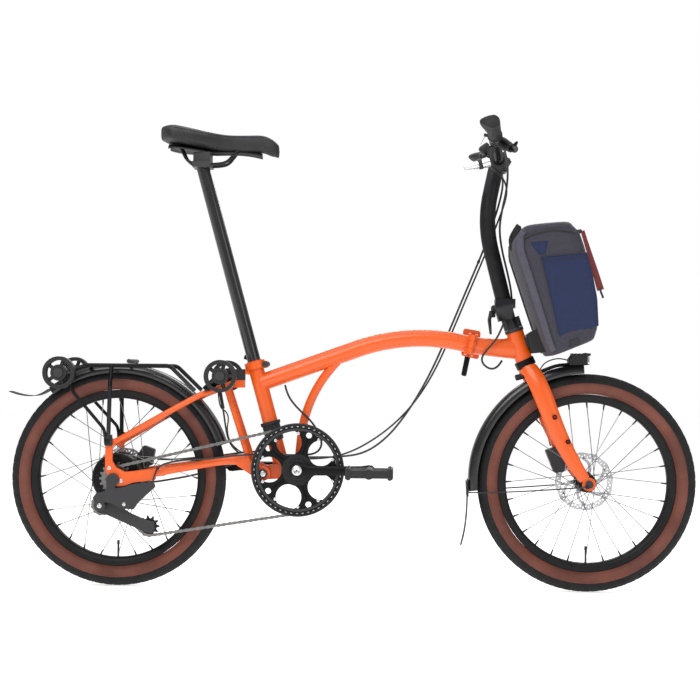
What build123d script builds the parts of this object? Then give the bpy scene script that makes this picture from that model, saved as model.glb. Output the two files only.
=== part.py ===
from build123d import *
import math
import os

# Folding bicycle with 20-inch wheels, in millimetres.
# Places are given as x ahead of the rear axle, y to the rider's left and z above the ground.
# When a piece is written it is moved back by MID_LENGTH, so the origin is on the ground at mid length.
MID_LENGTH = 551.5

# Wheels
WHEELBASE = 1111.0
TYRE_RADIUS = 257.0
TYRE_HALF_WIDTH = 26.5
TYRE_WALL = 3.0
RIM_OUTER = 209.0
RIM_INNER = 189.0
RIM_HALF_WIDTH = 14.0
SPOKES = 28
SPOKE_RADIUS = 1.0
FRONT = (WHEELBASE, TYRE_RADIUS)
REAR = (0.0, TYRE_RADIUS)
AXLE_RADIUS = 6.0
RUNNING_GAP = 0.05
GUARD_HALF_WIDTH = 31.0

# Crank and chain
BRACKET = (431.0, 283.0)
CHAIN_Y = -53.0
CHAIN_PITCH = 12.7
RING_TEETH = 50
COG_TEETH = 13
PULLEY_TEETH = 11
CRANK_LENGTH = 170.0
PEDAL_INNER_Y = 92.0
PEDAL_OUTER_Y = 190.0
GUIDE_PULLEY = (-30.0, 196.0)
TENSION_PULLEY = (82.0, 147.0)
RING_PITCH = CHAIN_PITCH / 2 / math.sin(math.pi / RING_TEETH)
COG_PITCH = CHAIN_PITCH / 2 / math.sin(math.pi / COG_TEETH)
PULLEY_PITCH = CHAIN_PITCH / 2 / math.sin(math.pi / PULLEY_TEETH)

# Frame
PIVOT = (348.0, 272.0)
POST_RADIUS = 15.9
SEAT_TUBE_RADIUS = 18.3
SEAT_LEAN = math.radians(15.4)
SEAT_TOP = (320.8, 537.8)
MAIN_TUBE_RADIUS = 20.5
HINGE = (836.0, 581.0)
HINGE_PIN_Y = -27.0
HEAD_RADIUS = 20.5
STEER_LEAN = math.radians(19.0)
STEER_POINT = (965.5, 538.0)
STEERER_RADIUS = 14.3

# Handlebar
POST_HINGE = (904.0, 25.0, 668.0)
BAR_CENTRE = (897.0, 0.0, 1018.0)
BAR_RADIUS = 11.1
BAR_HALF_WIDTH = 278.0
GRIP_START = 160.0


# ---------------------------------------------------------------- helpers
def rod(start, end, radius):
    """A round bar between two points."""
    a = Vector(*start)
    b = Vector(*end)
    length = (b - a).length
    place = Plane(origin=a, z_dir=(b - a))
    return place * Cylinder(radius, length, align=(Align.CENTER, Align.CENTER, Align.MIN))


def tube(start, end, outer, inner):
    """A round tube between two points."""
    return rod(start, end, outer) - rod(start, end, inner)


def disc(x, z, y0, y1, radius):
    """A round bar along y."""
    return rod((x, y0, z), (x, y1, z), radius)


def ring(x, z, y0, y1, outer, inner):
    """A flat ring about a y axis."""
    return disc(x, z, y0, y1, outer) - disc(x, z, y0 - 1, y1 + 1, inner)


def side_plane(y):
    """The plane at y whose own axes are x forward and z up."""
    return Plane(origin=(0, y, 0), x_dir=(1, 0, 0), z_dir=(0, -1, 0))


def plate(points, y0, y1, radius=0.0):
    """A plate lying in the x-z plane, from y0 to y1, with its corners rounded."""
    outline = make_face(Polyline(*points, close=True))
    if radius:
        outline = fillet(outline.vertices(), radius)
    return extrude(side_plane(y1) * outline, y1 - y0)


def pipe(points, radius, bends):
    """A bar swept along straight runs joined by arcs."""
    path = FilletPolyline(*points, radius=bends) if len(points) > 2 else Line(*points)
    return sweep(Plane(origin=path @ 0, z_dir=path % 0) * Circle(radius), path=path)


def loft_bar(stations):
    """A bar of elliptical section: each station is (point, direction, half depth, half width)."""
    faces = []
    for point, direction, depth, width in stations:
        place = Plane(origin=point, x_dir=(0, 1, 0), z_dir=direction)
        faces.append(place * Ellipse(width, depth))
    return loft(faces)


def turned(hub, section, arc=360.0, start=0.0):
    """A solid of revolution about a wheel axle from a face drawn in (radius, y)."""
    x, z = hub
    place = Plane(origin=(x, 0, z), x_dir=(1, 0, 0), z_dir=(0, 0, 1))
    body = revolve(place * section, Axis((x, 0, z), (0, -1, 0)), arc)
    return body.rotate(Axis((x, 0, z), (0, -1, 0)), start)


def box(x0, x1, y0, y1, z0, z1):
    """A block given by its faces."""
    size = Box(x1 - x0, y1 - y0, z1 - z0, align=(Align.MIN, Align.MIN, Align.MIN))
    return Pos(x0, y0, z0) * size


def polar(centre, radius, degrees):
    """A point (x, z) at an angle about a centre, counted from forward towards up."""
    a = math.radians(degrees)
    return (centre[0] + radius * math.cos(a), centre[1] + radius * math.sin(a))


def mirror_y(shape):
    return mirror(shape, about=Plane.XZ)


def toothed(centre, teeth, pitch_radius, y, thickness, bore):
    """A sprocket plate with pointed teeth."""
    points = []
    for i in range(teeth):
        for turn, reach in ((-0.34, -3.6), (-0.12, 2.6), (0.12, 2.6), (0.34, -3.6)):
            points.append(polar(centre, pitch_radius + reach, 360 * (i + turn) / teeth))
    body = plate(points, y - thickness / 2, y + thickness / 2)
    return body - disc(*centre, y - thickness, y + thickness, bore)


def save(name, *solids):
    """Write one node, moved so that the origin is at mid length."""
    pieces = []
    for item in solids:
        pieces.extend(item.solids())
    group = Compound(children=[Pos(-MID_LENGTH, 0, 0) * Solid(p.wrapped) for p in pieces])
    group.label = name
    export_step(group, f"parts/{name}.step")


os.makedirs("parts", exist_ok=True)


# ---------------------------------------------------------------- lines used by many pieces
def seat_line(z, y=0.0):
    """A point on the seat post's centre line."""
    return (SEAT_TOP[0] + (SEAT_TOP[1] - z) * math.tan(SEAT_LEAN), y, z)


def steer_line(distance, ahead=0.0, y=0.0):
    """A point along the steering axis, and ahead of it at a right angle."""
    s = math.sin(STEER_LEAN)
    c = math.cos(STEER_LEAN)
    return (STEER_POINT[0] - s * distance + c * ahead, y, STEER_POINT[1] + c * distance + s * ahead)


STEER_UP = (-math.sin(STEER_LEAN), 0, math.cos(STEER_LEAN))
STEER_AHEAD = (math.cos(STEER_LEAN), 0, math.sin(STEER_LEAN))


# ---------------------------------------------------------------- wheels
def tyre(hub):
    outer = Pos(231, 0) * Ellipse(26, TYRE_HALF_WIDTH)
    inner = Pos(231, 0) * Ellipse(26 - TYRE_WALL, TYRE_HALF_WIDTH - TYRE_WALL)
    foot = Pos(RIM_OUTER - 20, 0) * Rectangle(40, 80)
    return turned(hub, (outer - inner) - foot)


def rim(hub):
    outer = Pos((RIM_OUTER + RIM_INNER) / 2, 0) * Rectangle(RIM_OUTER - RIM_INNER, 2 * RIM_HALF_WIDTH)
    outer = fillet(outer.vertices().sort_by(Axis.X)[:2], 6)
    well = Pos(RIM_OUTER - 3, 0) * Rectangle(8, 22)
    return turned(hub, outer - well)


def spokes(hub, flange_radius, flange_y):
    """Crossed spokes from both hub flanges to the rim."""
    group = []
    x, z = hub
    for i in range(SPOKES):
        side = 1 if i % 2 == 0 else -1
        lean = 62 if (i // 2) % 2 == 0 else -62
        angle = 360 * i / SPOKES
        a = polar(hub, flange_radius, angle + lean)
        b = polar(hub, RIM_INNER - 0.3, angle)
        group.append(rod((a[0], side * flange_y, a[1]), (b[0], side * 3, b[1]), SPOKE_RADIUS))
    return group


def rotor(hub, y, radius):
    """A brake disc with spokes and a row of holes."""
    x, z = hub
    body = ring(x, z, y - 0.9, y + 0.9, radius, radius - 16)
    body += ring(x, z, y - 0.9, y + 0.9, 24, 17)
    for i in range(6):
        inner = polar(hub, 22, 60 * i)
        outer = polar(hub, radius - 14, 60 * i + 28)
        arm = plate([(inner[0] - 3, inner[1]), (inner[0] + 3, inner[1]),
                     (outer[0] + 3, outer[1]), (outer[0] - 3, outer[1])], y - 0.9, y + 0.9)
        body += arm
    for i in range(18):
        hole = polar(hub, radius - 8 + 3 * (i % 2), 20 * i)
        body -= disc(*hole, y - 2, y + 2, 2.4)
    return body


save("front_tyre", tyre(FRONT))
save("front_rim", rim(FRONT))
save("front_spokes", *spokes(FRONT, 22.4, 24.0))
front_hub = disc(*FRONT, -38, 46, 12)
front_hub += disc(*FRONT, -26, -22, 21) + disc(*FRONT, 22, 26, 21)
front_hub += disc(*FRONT, 36, 39, 16.9)
save("front_hub_and_disc", front_hub - disc(*FRONT, -60, 60, AXLE_RADIUS + RUNNING_GAP), rotor(FRONT, 40, 70))
front_axle = disc(*FRONT, -66, 66, AXLE_RADIUS)
front_axle += disc(*FRONT, -67, -60.1, 9) + disc(*FRONT, 60.1, 67, 9)
save("front_axle", front_axle)

save("rear_tyre", tyre(REAR))
save("rear_rim", rim(REAR))
save("rear_spokes", *spokes(REAR, 52.4, 30.0))
rear_hub = disc(*REAR, -36, 40, 49)
rear_hub = fillet(rear_hub.edges().filter_by(GeomType.CIRCLE), 6)
rear_hub += disc(*REAR, 39, 48, 18)
rear_hub += ring(*REAR, -33, -27, 51, 46) + ring(*REAR, 27, 33, 51, 46)
rear_hub -= disc(*REAR, -60, 60, AXLE_RADIUS + RUNNING_GAP)
save("rear_hub_and_disc", rear_hub, rotor(REAR, 50, 70))
rear_axle = disc(*REAR, -84, 84, AXLE_RADIUS)
rear_axle += disc(*REAR, -84, -77.1, 9) + disc(*REAR, 77.1, 84, 9)
save("rear_axle", rear_axle)

# Four cogs; the chain runs on the third, with 13 teeth.
cassette = disc(*REAR, -61, -36.1, 13)
for teeth, y in ((18, CHAIN_Y + 9.2), (15, CHAIN_Y + 4.6), (COG_TEETH, CHAIN_Y), (11, CHAIN_Y - 4.5)):
    pitch = CHAIN_PITCH / 2 / math.sin(math.pi / teeth)
    cassette += toothed(REAR, teeth, pitch, y, 1.6, 6.5)
save("cassette", cassette - disc(*REAR, -70, -30, AXLE_RADIUS + RUNNING_GAP))


# ---------------------------------------------------------------- crankset
chainring = toothed(BRACKET, RING_TEETH, RING_PITCH, CHAIN_Y, 2.0, 91)
guard_ring = ring(*BRACKET, CHAIN_Y - 8, CHAIN_Y - 4.5, 109.5, 92)
save("chainring_and_guard", chainring, guard_ring)
SPIDER_FACE = CHAIN_Y - 4.4
SPIDER_BACK = CHAIN_Y - 1.1


def bar_between(a, b, half_a, half_b, y0, y1):
    """A flat tapering bar between two points of the x-z plane."""
    along = math.atan2(b[1] - a[1], b[0] - a[0])
    sx = -math.sin(along)
    sz = math.cos(along)
    return plate([(a[0] + half_a * sx, a[1] + half_a * sz), (a[0] - half_a * sx, a[1] - half_a * sz),
                  (b[0] - half_b * sx, b[1] - half_b * sz), (b[0] + half_b * sx, b[1] + half_b * sz)], y0, y1)


# Each of the five spider arms forks near its end to two bolts on the ring.
right_crank = disc(*BRACKET, -66, SPIDER_BACK, 24)
for i in range(5):
    angle = 72 * i
    fork_point = polar(BRACKET, 68, angle)
    right_crank += bar_between(polar(BRACKET, 12, angle), fork_point, 11, 6.5, SPIDER_FACE, SPIDER_BACK)
    right_crank += disc(*fork_point, SPIDER_FACE, SPIDER_BACK, 6.5)
    for turn in (-17, 17):
        tip = polar(BRACKET, 90.5, angle + turn)
        right_crank += bar_between(fork_point, tip, 5.5, 5, SPIDER_FACE, SPIDER_BACK)
        right_crank += disc(*polar(BRACKET, 86, angle + turn), CHAIN_Y - 8, SPIDER_BACK, 4.5)
RIGHT_PEDAL = (BRACKET[0] + CRANK_LENGTH, BRACKET[1])
LEFT_PEDAL = (BRACKET[0] - CRANK_LENGTH, BRACKET[1])


def crank_arm(pedal, y0, y1):
    body = disc(*BRACKET, y0, y1, 19) + disc(*pedal, y0, y1, 15)
    low = min(BRACKET[0], pedal[0])
    high = max(BRACKET[0], pedal[0])
    web = [(low, BRACKET[1] - 13), (high, BRACKET[1] - 12), (high, BRACKET[1] + 12), (low, BRACKET[1] + 13)]
    body += plate(web, y0 + 1, y1 - 1)
    return body


right_crank += crank_arm(RIGHT_PEDAL, -80, -65)
right_crank -= disc(*RIGHT_PEDAL, -90, -60, 7.05)
right_crank -= disc(*BRACKET, -90, -50, 12.0)
save("right_crank", right_crank)
left_crank = crank_arm(LEFT_PEDAL, 65, 80) - disc(*LEFT_PEDAL, 60, 90, 7.05) - disc(*BRACKET, 60, 90, 12.0)
spindle = disc(*BRACKET, -84, 84, 11.95) + disc(*BRACKET, -85, -80.1, 14) + disc(*BRACKET, 80.1, 85, 14)
save("left_crank_and_spindle", left_crank, spindle)


def pedal(centre, side):
    """Platform pedal with a cage of bars on a turning barrel; side is -1 right, 1 left."""
    x, z = centre
    y0 = min(side * PEDAL_INNER_Y, side * PEDAL_OUTER_Y)
    y1 = max(side * PEDAL_INNER_Y, side * PEDAL_OUTER_Y)
    body = disc(x, z, y0, y1, 12)
    for edge in (-1, 1):
        body += box(x + edge * 48 - 6, x + edge * 48 + 6, y0, y1, z - 13, z + 13)
    for step in range(4):
        centre_y = y0 + 7 + step * (y1 - y0 - 14) / 3
        body += box(x - 50, x + 50, centre_y - 5, centre_y + 5, z - 9, z + 9)
    return body - disc(x, z, y0 - 1, y1 + 1, 5.05)


def pedal_axle(centre, side):
    x, z = centre
    ends = sorted((side * 66, side * (PEDAL_OUTER_Y - 1)))
    collar = sorted((side * 80.1, side * (PEDAL_INNER_Y - 0.5)))
    return (disc(x, z, *sorted((side * 66, side * 81)), 7.0) + disc(x, z, *ends, 5.0)
            + disc(x, z, *collar, 8.5))


save("right_pedal", pedal(RIGHT_PEDAL, -1))
save("left_pedal", pedal(LEFT_PEDAL, 1))
save("pedal_axles", pedal_axle(RIGHT_PEDAL, -1), pedal_axle(LEFT_PEDAL, 1))


# ---------------------------------------------------------------- chain
def tangent_points(c1, r1, c2, r2, side1, side2):
    """Where a straight run touches two sprockets; a side of 1 passes left of the centre."""
    dx = c2[0] - c1[0]
    dz = c2[1] - c1[1]
    gap = math.hypot(dx, dz)
    base = math.atan2(dz, dx)
    lean = math.asin((side2 * r2 - side1 * r1) / gap)
    normal = base + lean + math.pi / 2
    a = (c1[0] + side1 * r1 * math.cos(normal), c1[1] + side1 * r1 * math.sin(normal))
    b = (c2[0] + side2 * r2 * math.cos(normal), c2[1] + side2 * r2 * math.sin(normal))
    return a, b


def chain_run(a, b, y0, y1):
    dx = b[0] - a[0]
    dz = b[1] - a[1]
    length = math.hypot(dx, dz)
    nx = -dz / length * 3.6
    nz = dx / length * 3.6
    return plate([(a[0] + nx, a[1] + nz), (b[0] + nx, b[1] + nz),
                  (b[0] - nx, b[1] - nz), (a[0] - nx, a[1] - nz)], y0, y1)


def chain_wrap(centre, radius, a, b, turning, y0, y1):
    """The stretch round a sprocket from a to b; turning is 1 counted from forward towards up."""
    start = math.degrees(math.atan2(a[1] - centre[1], a[0] - centre[0]))
    end = math.degrees(math.atan2(b[1] - centre[1], b[0] - centre[0]))
    sweep_angle = (end - start) % 360 if turning > 0 else (start - end) % 360
    first = start if turning > 0 else end
    section = Pos(radius, (y0 + y1) / 2) * Rectangle(7.2, y1 - y0)
    return turned(centre, section, sweep_angle, first)


upper = tangent_points(REAR, COG_PITCH, BRACKET, RING_PITCH, 1, 1)
lower = tangent_points(BRACKET, RING_PITCH, TENSION_PULLEY, PULLEY_PITCH, 1, 1)
between = tangent_points(TENSION_PULLEY, PULLEY_PITCH, GUIDE_PULLEY, PULLEY_PITCH, 1, -1)
back = tangent_points(GUIDE_PULLEY, PULLEY_PITCH, REAR, COG_PITCH, -1, 1)
chain = []
for y0, y1 in ((CHAIN_Y - 3.3, CHAIN_Y - 2.2), (CHAIN_Y + 2.2, CHAIN_Y + 3.3)):
    chain.append(chain_run(*upper, y0, y1))
    chain.append(chain_run(*lower, y0, y1))
    chain.append(chain_run(*between, y0, y1))
    chain.append(chain_run(*back, y0, y1))
    chain.append(chain_wrap(BRACKET, RING_PITCH, upper[1], lower[0], -1, y0, y1))
    chain.append(chain_wrap(TENSION_PULLEY, PULLEY_PITCH, lower[1], between[0], -1, y0, y1))
    chain.append(chain_wrap(GUIDE_PULLEY, PULLEY_PITCH, between[1], back[0], 1, y0, y1))
    chain.append(chain_wrap(REAR, COG_PITCH, back[1], upper[0], -1, y0, y1))
save("chain", *chain)

for name, centre in (("guide_pulley", GUIDE_PULLEY), ("tension_pulley", TENSION_PULLEY)):
    save(name, toothed(centre, PULLEY_TEETH, PULLEY_PITCH, CHAIN_Y, 2.0, 4.05))

# The tensioner's cage holds both pulleys between a broad outer arm and a slim inner plate.
outer_arm = plate([(-47, 211), (-46, 190), (-38, 178), (-17, 173), (73, 134), (90, 131), (97, 141), (95, 158),
                   (72, 164), (39, 178), (8, 197), (-12, 212)], CHAIN_Y - 9.5, CHAIN_Y - 4.5, 3)
inner_plate = disc(*GUIDE_PULLEY, CHAIN_Y + 4.5, CHAIN_Y + 6.5, 15)
inner_plate += disc(*TENSION_PULLEY, CHAIN_Y + 4.5, CHAIN_Y + 6.5, 15)
inner_plate += chain_run(GUIDE_PULLEY, TENSION_PULLEY, CHAIN_Y + 4.5, CHAIN_Y + 6.5)
cage = outer_arm + inner_plate
for centre in (GUIDE_PULLEY, TENSION_PULLEY):
    cage += disc(*centre, CHAIN_Y - 9.5, CHAIN_Y + 8, 4.0)
save("tensioner_cage", cage)
# The tensioner's body hangs from the axle, outside the dropout and under the chainstay.
mech = plate([(14, 238), (27, 240.5), (49, 248), (95, 252), (99, 240), (78, 221), (58, 201), (50, 188), (20, 190),
              (-4, 203), (-34, 205), (-47, 213), (-38, 225), (-18, 230), (-14, 238)], -84, -66, 3)
mech += disc(GUIDE_PULLEY[0], GUIDE_PULLEY[1], -84, CHAIN_Y - 10, 13)
mech += box(-14, 6, -84, -77.2, 228, 250) + ring(*REAR, -84, -77.2, 15, 9.3)
save("chain_tensioner", mech - disc(*REAR, -90, -70, 9.3))


# ---------------------------------------------------------------- main frame
def pin_cutters():
    """Room in the main frame for the seat post, the bottom bracket and the pivot pin."""
    low = seat_line(215)
    high = seat_line(560)
    return rod(low, high, POST_RADIUS + RUNNING_GAP) + disc(*BRACKET, -60, 60, 17) + disc(*PIVOT, -50, 50, 7.0)


HINGE_SLOPE = math.radians(-12.4)
hinge_dir = (math.cos(HINGE_SLOPE), 0, math.sin(HINGE_SLOPE))
main_tube = pipe([(338, 0, 485.8), (690, 0, 613), (HINGE[0] - 9, 0, HINGE[1] + 2)], MAIN_TUBE_RADIUS, 449)
seat_tube = rod(seat_line(248), seat_line(SEAT_TOP[1]), SEAT_TUBE_RADIUS)
strut = pipe([(531, 0, 552), (444, 0, 451), (429, 0, 290)], 10.5, 300)
shell = disc(*BRACKET, -34, 34, 20.5)
pivot_shell = disc(*PIVOT, -30, 30, 15.5)
lug = plate([(348, 257), (431, 262), (431, 304), (348, 288)], -19, 19)
hinge_plate_back = Plane(origin=(HINGE[0] - 11, 0, HINGE[1] + 2.4), x_dir=(0, 1, 0), z_dir=hinge_dir)
hinge_block = extrude(hinge_plate_back * RectangleRounded(46, 52, 10), 10.6)
bump_arm = plate([(300.6, 506), (318, 504), (322, 520), (300.6, 520)], -9, 9)
main_frame = main_tube + seat_tube + strut + shell + pivot_shell + lug + hinge_block + bump_arm
main_frame -= pin_cutters()


def hinge_pin_line(distance, ahead=0.0, y=HINGE_PIN_Y):
    """A point along the fold hinge's pin, which stands square to the tube at its right side."""
    return (HINGE[0] - distance * math.sin(HINGE_SLOPE) + ahead * math.cos(HINGE_SLOPE), y,
            HINGE[1] + distance * math.cos(HINGE_SLOPE) + ahead * math.sin(HINGE_SLOPE))


# Two knuckles on the main frame take the pin; the front frame's knuckle sits between them.
for low, high in ((-24, -9), (9, 24)):
    knuckle = rod(hinge_pin_line(low), hinge_pin_line(high), 8)
    arm = rod(hinge_pin_line(low, -7, -24), hinge_pin_line(high, -7, -24), 3.8)
    main_frame += knuckle + arm
main_frame -= rod(hinge_pin_line(-30), hinge_pin_line(30), 4.0)
main_frame -= rod(hinge_pin_line(-9), hinge_pin_line(9), 8.6)
save("main_frame", main_frame)
cups = (ring(*BRACKET, -40, -34, 19.5, 12.0) + ring(*BRACKET, 34, 40, 19.5, 12.0)
        + ring(*BRACKET, -34, 34, 16.9, 12.0))
pivot_pin = disc(*PIVOT, -46, 46, 6.95) + disc(*PIVOT, -46, -40.3, 11) + disc(*PIVOT, 40.3, 46, 11)
save("frame_bearings_and_pins", cups, pivot_pin, rod(hinge_pin_line(-26), hinge_pin_line(26), 4.0))
collar = tube(seat_line(519), seat_line(536), 24.5, SEAT_TUBE_RADIUS)
CLAMP_BOLT = (349.0, 530.0)
collar += plate([(336, 519), (356, 523), (353, 539), (332, 536)], -9, 9, 3)
collar -= rod(seat_line(480), seat_line(560), SEAT_TUBE_RADIUS) + main_tube + bump_arm
collar -= disc(*CLAMP_BOLT, -20, 20, 3.3)
collar -= disc(*CLAMP_BOLT, -30, -9.2, 8) + disc(*CLAMP_BOLT, 9.2, 30, 8)
# The quick-release bolt goes through the clamp's ears, with a knob on the right and a lever on the left.
lever = disc(*CLAMP_BOLT, -19, -9.4, 7.5) + disc(*CLAMP_BOLT, -19, 33, 3.0)
lever += disc(*CLAMP_BOLT, 9.4, 33, 7.5)
lever += plate([(351, 523), (351, 537), (296, 554), (292, 543)], 27, 33, 3)
save("seat_clamp_lever", lever)

# Clamp on the left of the fold hinge: a saddle-shaped plate and a lever.
fold_plate = plate([(815, 556), (857, 546), (861, 614), (820, 621)], 24.5, 33, 6)
save("seat_and_fold_clamps", collar, fold_plate)
fold_lever = disc(838, 583, 33.3, 43, 10)
fold_lever += plate([(832, 592), (845, 590), (828, 505), (816, 508)], 42, 51, 4)
save("fold_clamp_lever", fold_lever)


# ---------------------------------------------------------------- front frame
front_plate = Plane(origin=hinge_pin_line(0, 0.4, 0), x_dir=(0, 1, 0), z_dir=hinge_dir)
front_frame = extrude(front_plate * RectangleRounded(46, 52, 10), 10.5)
front_frame += loft_bar([(hinge_pin_line(0, 5, 0), hinge_dir, 21, 20.5),
                         ((895, 0, 574.5), (1, 0, -0.12), 22, 19.5),
                         ((948, 0, 574.0), (1, 0, 0.1), 27, 18)])
front_frame += rod(steer_line(4), steer_line(78), HEAD_RADIUS)
front_frame += rod(hinge_pin_line(-8.6), hinge_pin_line(8.6), 8)
front_frame += rod(hinge_pin_line(-8.6, 7.5, -24), hinge_pin_line(8.6, 7.5, -24), 4)
front_frame -= rod(hinge_pin_line(-30), hinge_pin_line(30), 4.05)
for low, high in ((-30, -8.6), (8.6, 30)):
    front_frame -= rod(hinge_pin_line(low), hinge_pin_line(high), 8.7)
front_frame -= rod(steer_line(-10), steer_line(90), 17.5)
save("front_frame", front_frame)
headset = tube(steer_line(0), steer_line(3.9), 22.5, STEERER_RADIUS + RUNNING_GAP)
headset += tube(steer_line(3.9), steer_line(16), 17.5, STEERER_RADIUS + RUNNING_GAP)
headset_top = tube(steer_line(78.1), steer_line(86), 22.5, STEERER_RADIUS + RUNNING_GAP)
headset_top += tube(steer_line(64), steer_line(78.1), 17.5, STEERER_RADIUS + RUNNING_GAP)
save("headset", headset, headset_top)
carrier = plate([(967, 606), (1000, 628), (1024, 566), (978, 561)], -27, 27, 4)
carrier += box(955, 975, -14, 14, 575, 598)
carrier -= rod(steer_line(-10), steer_line(90), HEAD_RADIUS)
save("carrier_block", carrier)

# ---------------------------------------------------------------- fork
BLADE_TOP = (987.0, 497.0)
BOSSES = ((1030.0, 413.0), (1061.0, 356.0))
BOSS_RADIUS = 5.6
BOSS_BORE = 2.5
BOSS_SEAT = 6.0
BOSS_FOOT_Y = 62.0
BOSS_FACE_Y = 67.0


def fork_blade(side):
    ahead = (0.42, 0, -0.91)
    top = Vector(972, side * 30, 527)
    blade = loft_bar([(top, (0.28, side * 0.62, -0.72), 19, 12),
                      ((BLADE_TOP[0] + 6, side * 47, BLADE_TOP[1] - 10), ahead, 22, 11),
                      ((1030, side * 53, 396), ahead, 20.5, 10),
                      ((1072, side * 56, 312), ahead, 17, 7.5),
                      ((1101, side * 56, 268), (0.56, 0, -0.83), 13, 4.5)])
    end = disc(*FRONT, *sorted((side * 50.5, side * 60)), 15.7)
    return blade + end


fork = rod(steer_line(-24), steer_line(-0.6), 21) + fork_blade(1) + fork_blade(-1)
fork += rod((978, -34, 521), (978, 34, 521), 14)
fork += rod(steer_line(-2), steer_line(112), STEERER_RADIUS)
# Threaded bosses stand in square seats on the outside of each blade.
bosses = []
for side in (-1, 1):
    for x, z in BOSSES:
        seat = (x - BOSS_SEAT, x + BOSS_SEAT, *sorted((side * BOSS_FOOT_Y, side * 80)))
        fork -= box(*seat, z - BOSS_SEAT, z + BOSS_SEAT)
        bosses.append(ring(x, z, *sorted((side * BOSS_FOOT_Y, side * BOSS_FACE_Y)), BOSS_RADIUS, BOSS_BORE))
fork -= disc(*FRONT, -32, 32, 280.3)
fork -= disc(*FRONT, -70, 70, AXLE_RADIUS)
save("fork", fork, *bosses)


def guard(hub, inner, start, end, thickness=2.2, lip=22):
    """A mudguard: an arched strip between two angles about the axle."""
    mid = inner + thickness / 2
    section = Pos(mid, 0) * Rectangle(thickness, 2 * GUARD_HALF_WIDTH)
    for side in (-1, 1):
        section += Pos(mid - lip / 2, side * (GUARD_HALF_WIDTH - thickness / 2)) * Rectangle(lip + thickness, thickness)
    return turned(hub, section, end - start, start)


front_guard = guard(FRONT, 276.5, 92, 184)
flap = plate([(WHEELBASE - 279, 262), (WHEELBASE - 275, 262), (WHEELBASE - 273, 222), (WHEELBASE - 287, 122),
              (WHEELBASE - 292, 104), (WHEELBASE - 297, 106), (WHEELBASE - 280, 222)], -29, 29)
flap -= disc(*FRONT, -40, 40, 278.7)
stays = []
for side in (-1, 1):
    stays.append(pipe([(WHEELBASE - 10, side * 69, 251), (WHEELBASE - 190, side * 60, 236),
                       (WHEELBASE - 276, side * 36, 232)], 2.0, 60))
    stays.append(disc(WHEELBASE - 6, 251, *sorted((side * 67.1, side * 71)), 5))
save("front_mudguard", front_guard, flap, stays[0] + stays[1], stays[2] + stays[3])
lamp = plate([(1068, 531), (1066, 545), (1074, 560), (1112, 563), (1118, 556), (1116, 534)], -24, 24, 5)
lamp -= disc(*FRONT, -40, 40, 279)
bracket = plate([(1010, 522), (1040, 533), (1074, 533), (1074, 528), (1042, 526), (1014, 512)], -8, 8)
bracket += plate([(988, 528), (1012, 523), (1012, 510), (992, 508)], -8, 8)
bracket -= disc(*FRONT, -40, 40, 279)
bracket -= rod((978, -40, 521), (978, 40, 521), 14)
bracket -= rod(steer_line(-24), steer_line(10), 21)
lens = box(1110, 1119, -19.9, 19.9, 538.1, 557.9)
save("headlight", bracket, lamp - bracket - lens, lens)
caliper = plate([(1018, 330), (1052, 342), (1068, 312), (1064, 280), (1040, 276)], 33, 66, 5)
caliper -= box(1030, 1080, 37.4, 42.6, 250, 330)
caliper -= disc(*FRONT, 30, 50, 52)
caliper -= fork_blade(1)
save("front_caliper", *caliper.solids().sort_by(SortBy.VOLUME)[-1:])
post_base = rod(steer_line(86.4), steer_line(112), 22.0)
post_base += plate([(902, 636), (940, 645), (934, 668), (893, 668)], -22, 22)
post_base -= rod(steer_line(80), steer_line(112), STEERER_RADIUS)


def fold_axis_point(distance):
    """A point along the handlepost's fold pin, which runs forward and to the left."""
    reach = distance * math.sqrt(0.5)
    return (POST_HINGE[0] + reach, POST_HINGE[1] + reach, POST_HINGE[2])


post_base += rod(fold_axis_point(-10), fold_axis_point(10), 8)
post_base -= rod(fold_axis_point(-40), fold_axis_point(-10), 8.6)
post_base -= rod(fold_axis_point(10), fold_axis_point(40), 8.6)
post_base -= rod(fold_axis_point(-40), fold_axis_point(40), 3.5)
save("handlepost_base", post_base, rod(fold_axis_point(-21), fold_axis_point(21), 3.5))

# ---------------------------------------------------------------- handlepost and bar
handlepost = pipe([(915.5, 0, 676), (866, 0, 872), (893, 0, 1001)], 18.5, 300)
handlepost += box(893, 940, -22, 22, 668.4, 690)
handlepost += box(899, 926, 18, 40, 669, 683)
handlepost += rod(fold_axis_point(-20), fold_axis_point(-10.4), 8) + rod(fold_axis_point(10.4), fold_axis_point(20), 8)
handlepost -= rod(fold_axis_point(-10.4), fold_axis_point(10.4), 8.6)
handlepost -= rod(fold_axis_point(-30), fold_axis_point(30), 3.55)
handlepost += plate([(877, 1031), (902, 1038), (925, 1012), (918, 990), (898, 990), (878, 1010)], -24, 24, 6)
handlepost -= disc(BAR_CENTRE[0], BAR_CENTRE[2], -30, 30, 14)
save("handlepost", handlepost)
clamp_lever = rod((894, 0, 654), (880, 0, 654), 8)
clamp_lever += plate([(888, 662), (880, 662), (876, 640), (881, 606), (886, 606), (884, 640)], -8, 8)
save("handlepost_clamp_lever", clamp_lever)


def bar_route(side):
    x, y, z = BAR_CENTRE
    return [(x, 0, z), (x, side * 46, z), (x - 12, side * 105, z + 30), (x - 29, side * BAR_HALF_WIDTH, z + 48)]


handlebar = pipe(bar_route(1), BAR_RADIUS, 40) + pipe(bar_route(-1), BAR_RADIUS, 40)
handlebar += disc(BAR_CENTRE[0], BAR_CENTRE[2], -30, 30, 14)
save("handlebar", handlebar)
# Room for the handlebar in the pieces that are clamped on it.
bar_room = pipe(bar_route(1), BAR_RADIUS + 0.1, 40) + pipe(bar_route(-1), BAR_RADIUS + 0.1, 40)


def bar_point(y):
    """A point on the outer, straight part of the handlebar."""
    x, _, z = BAR_CENTRE
    share = (abs(y) - 105) / (BAR_HALF_WIDTH - 105)
    return (x - 12 - 17 * share, y, z + 30 + 18 * share)


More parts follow.
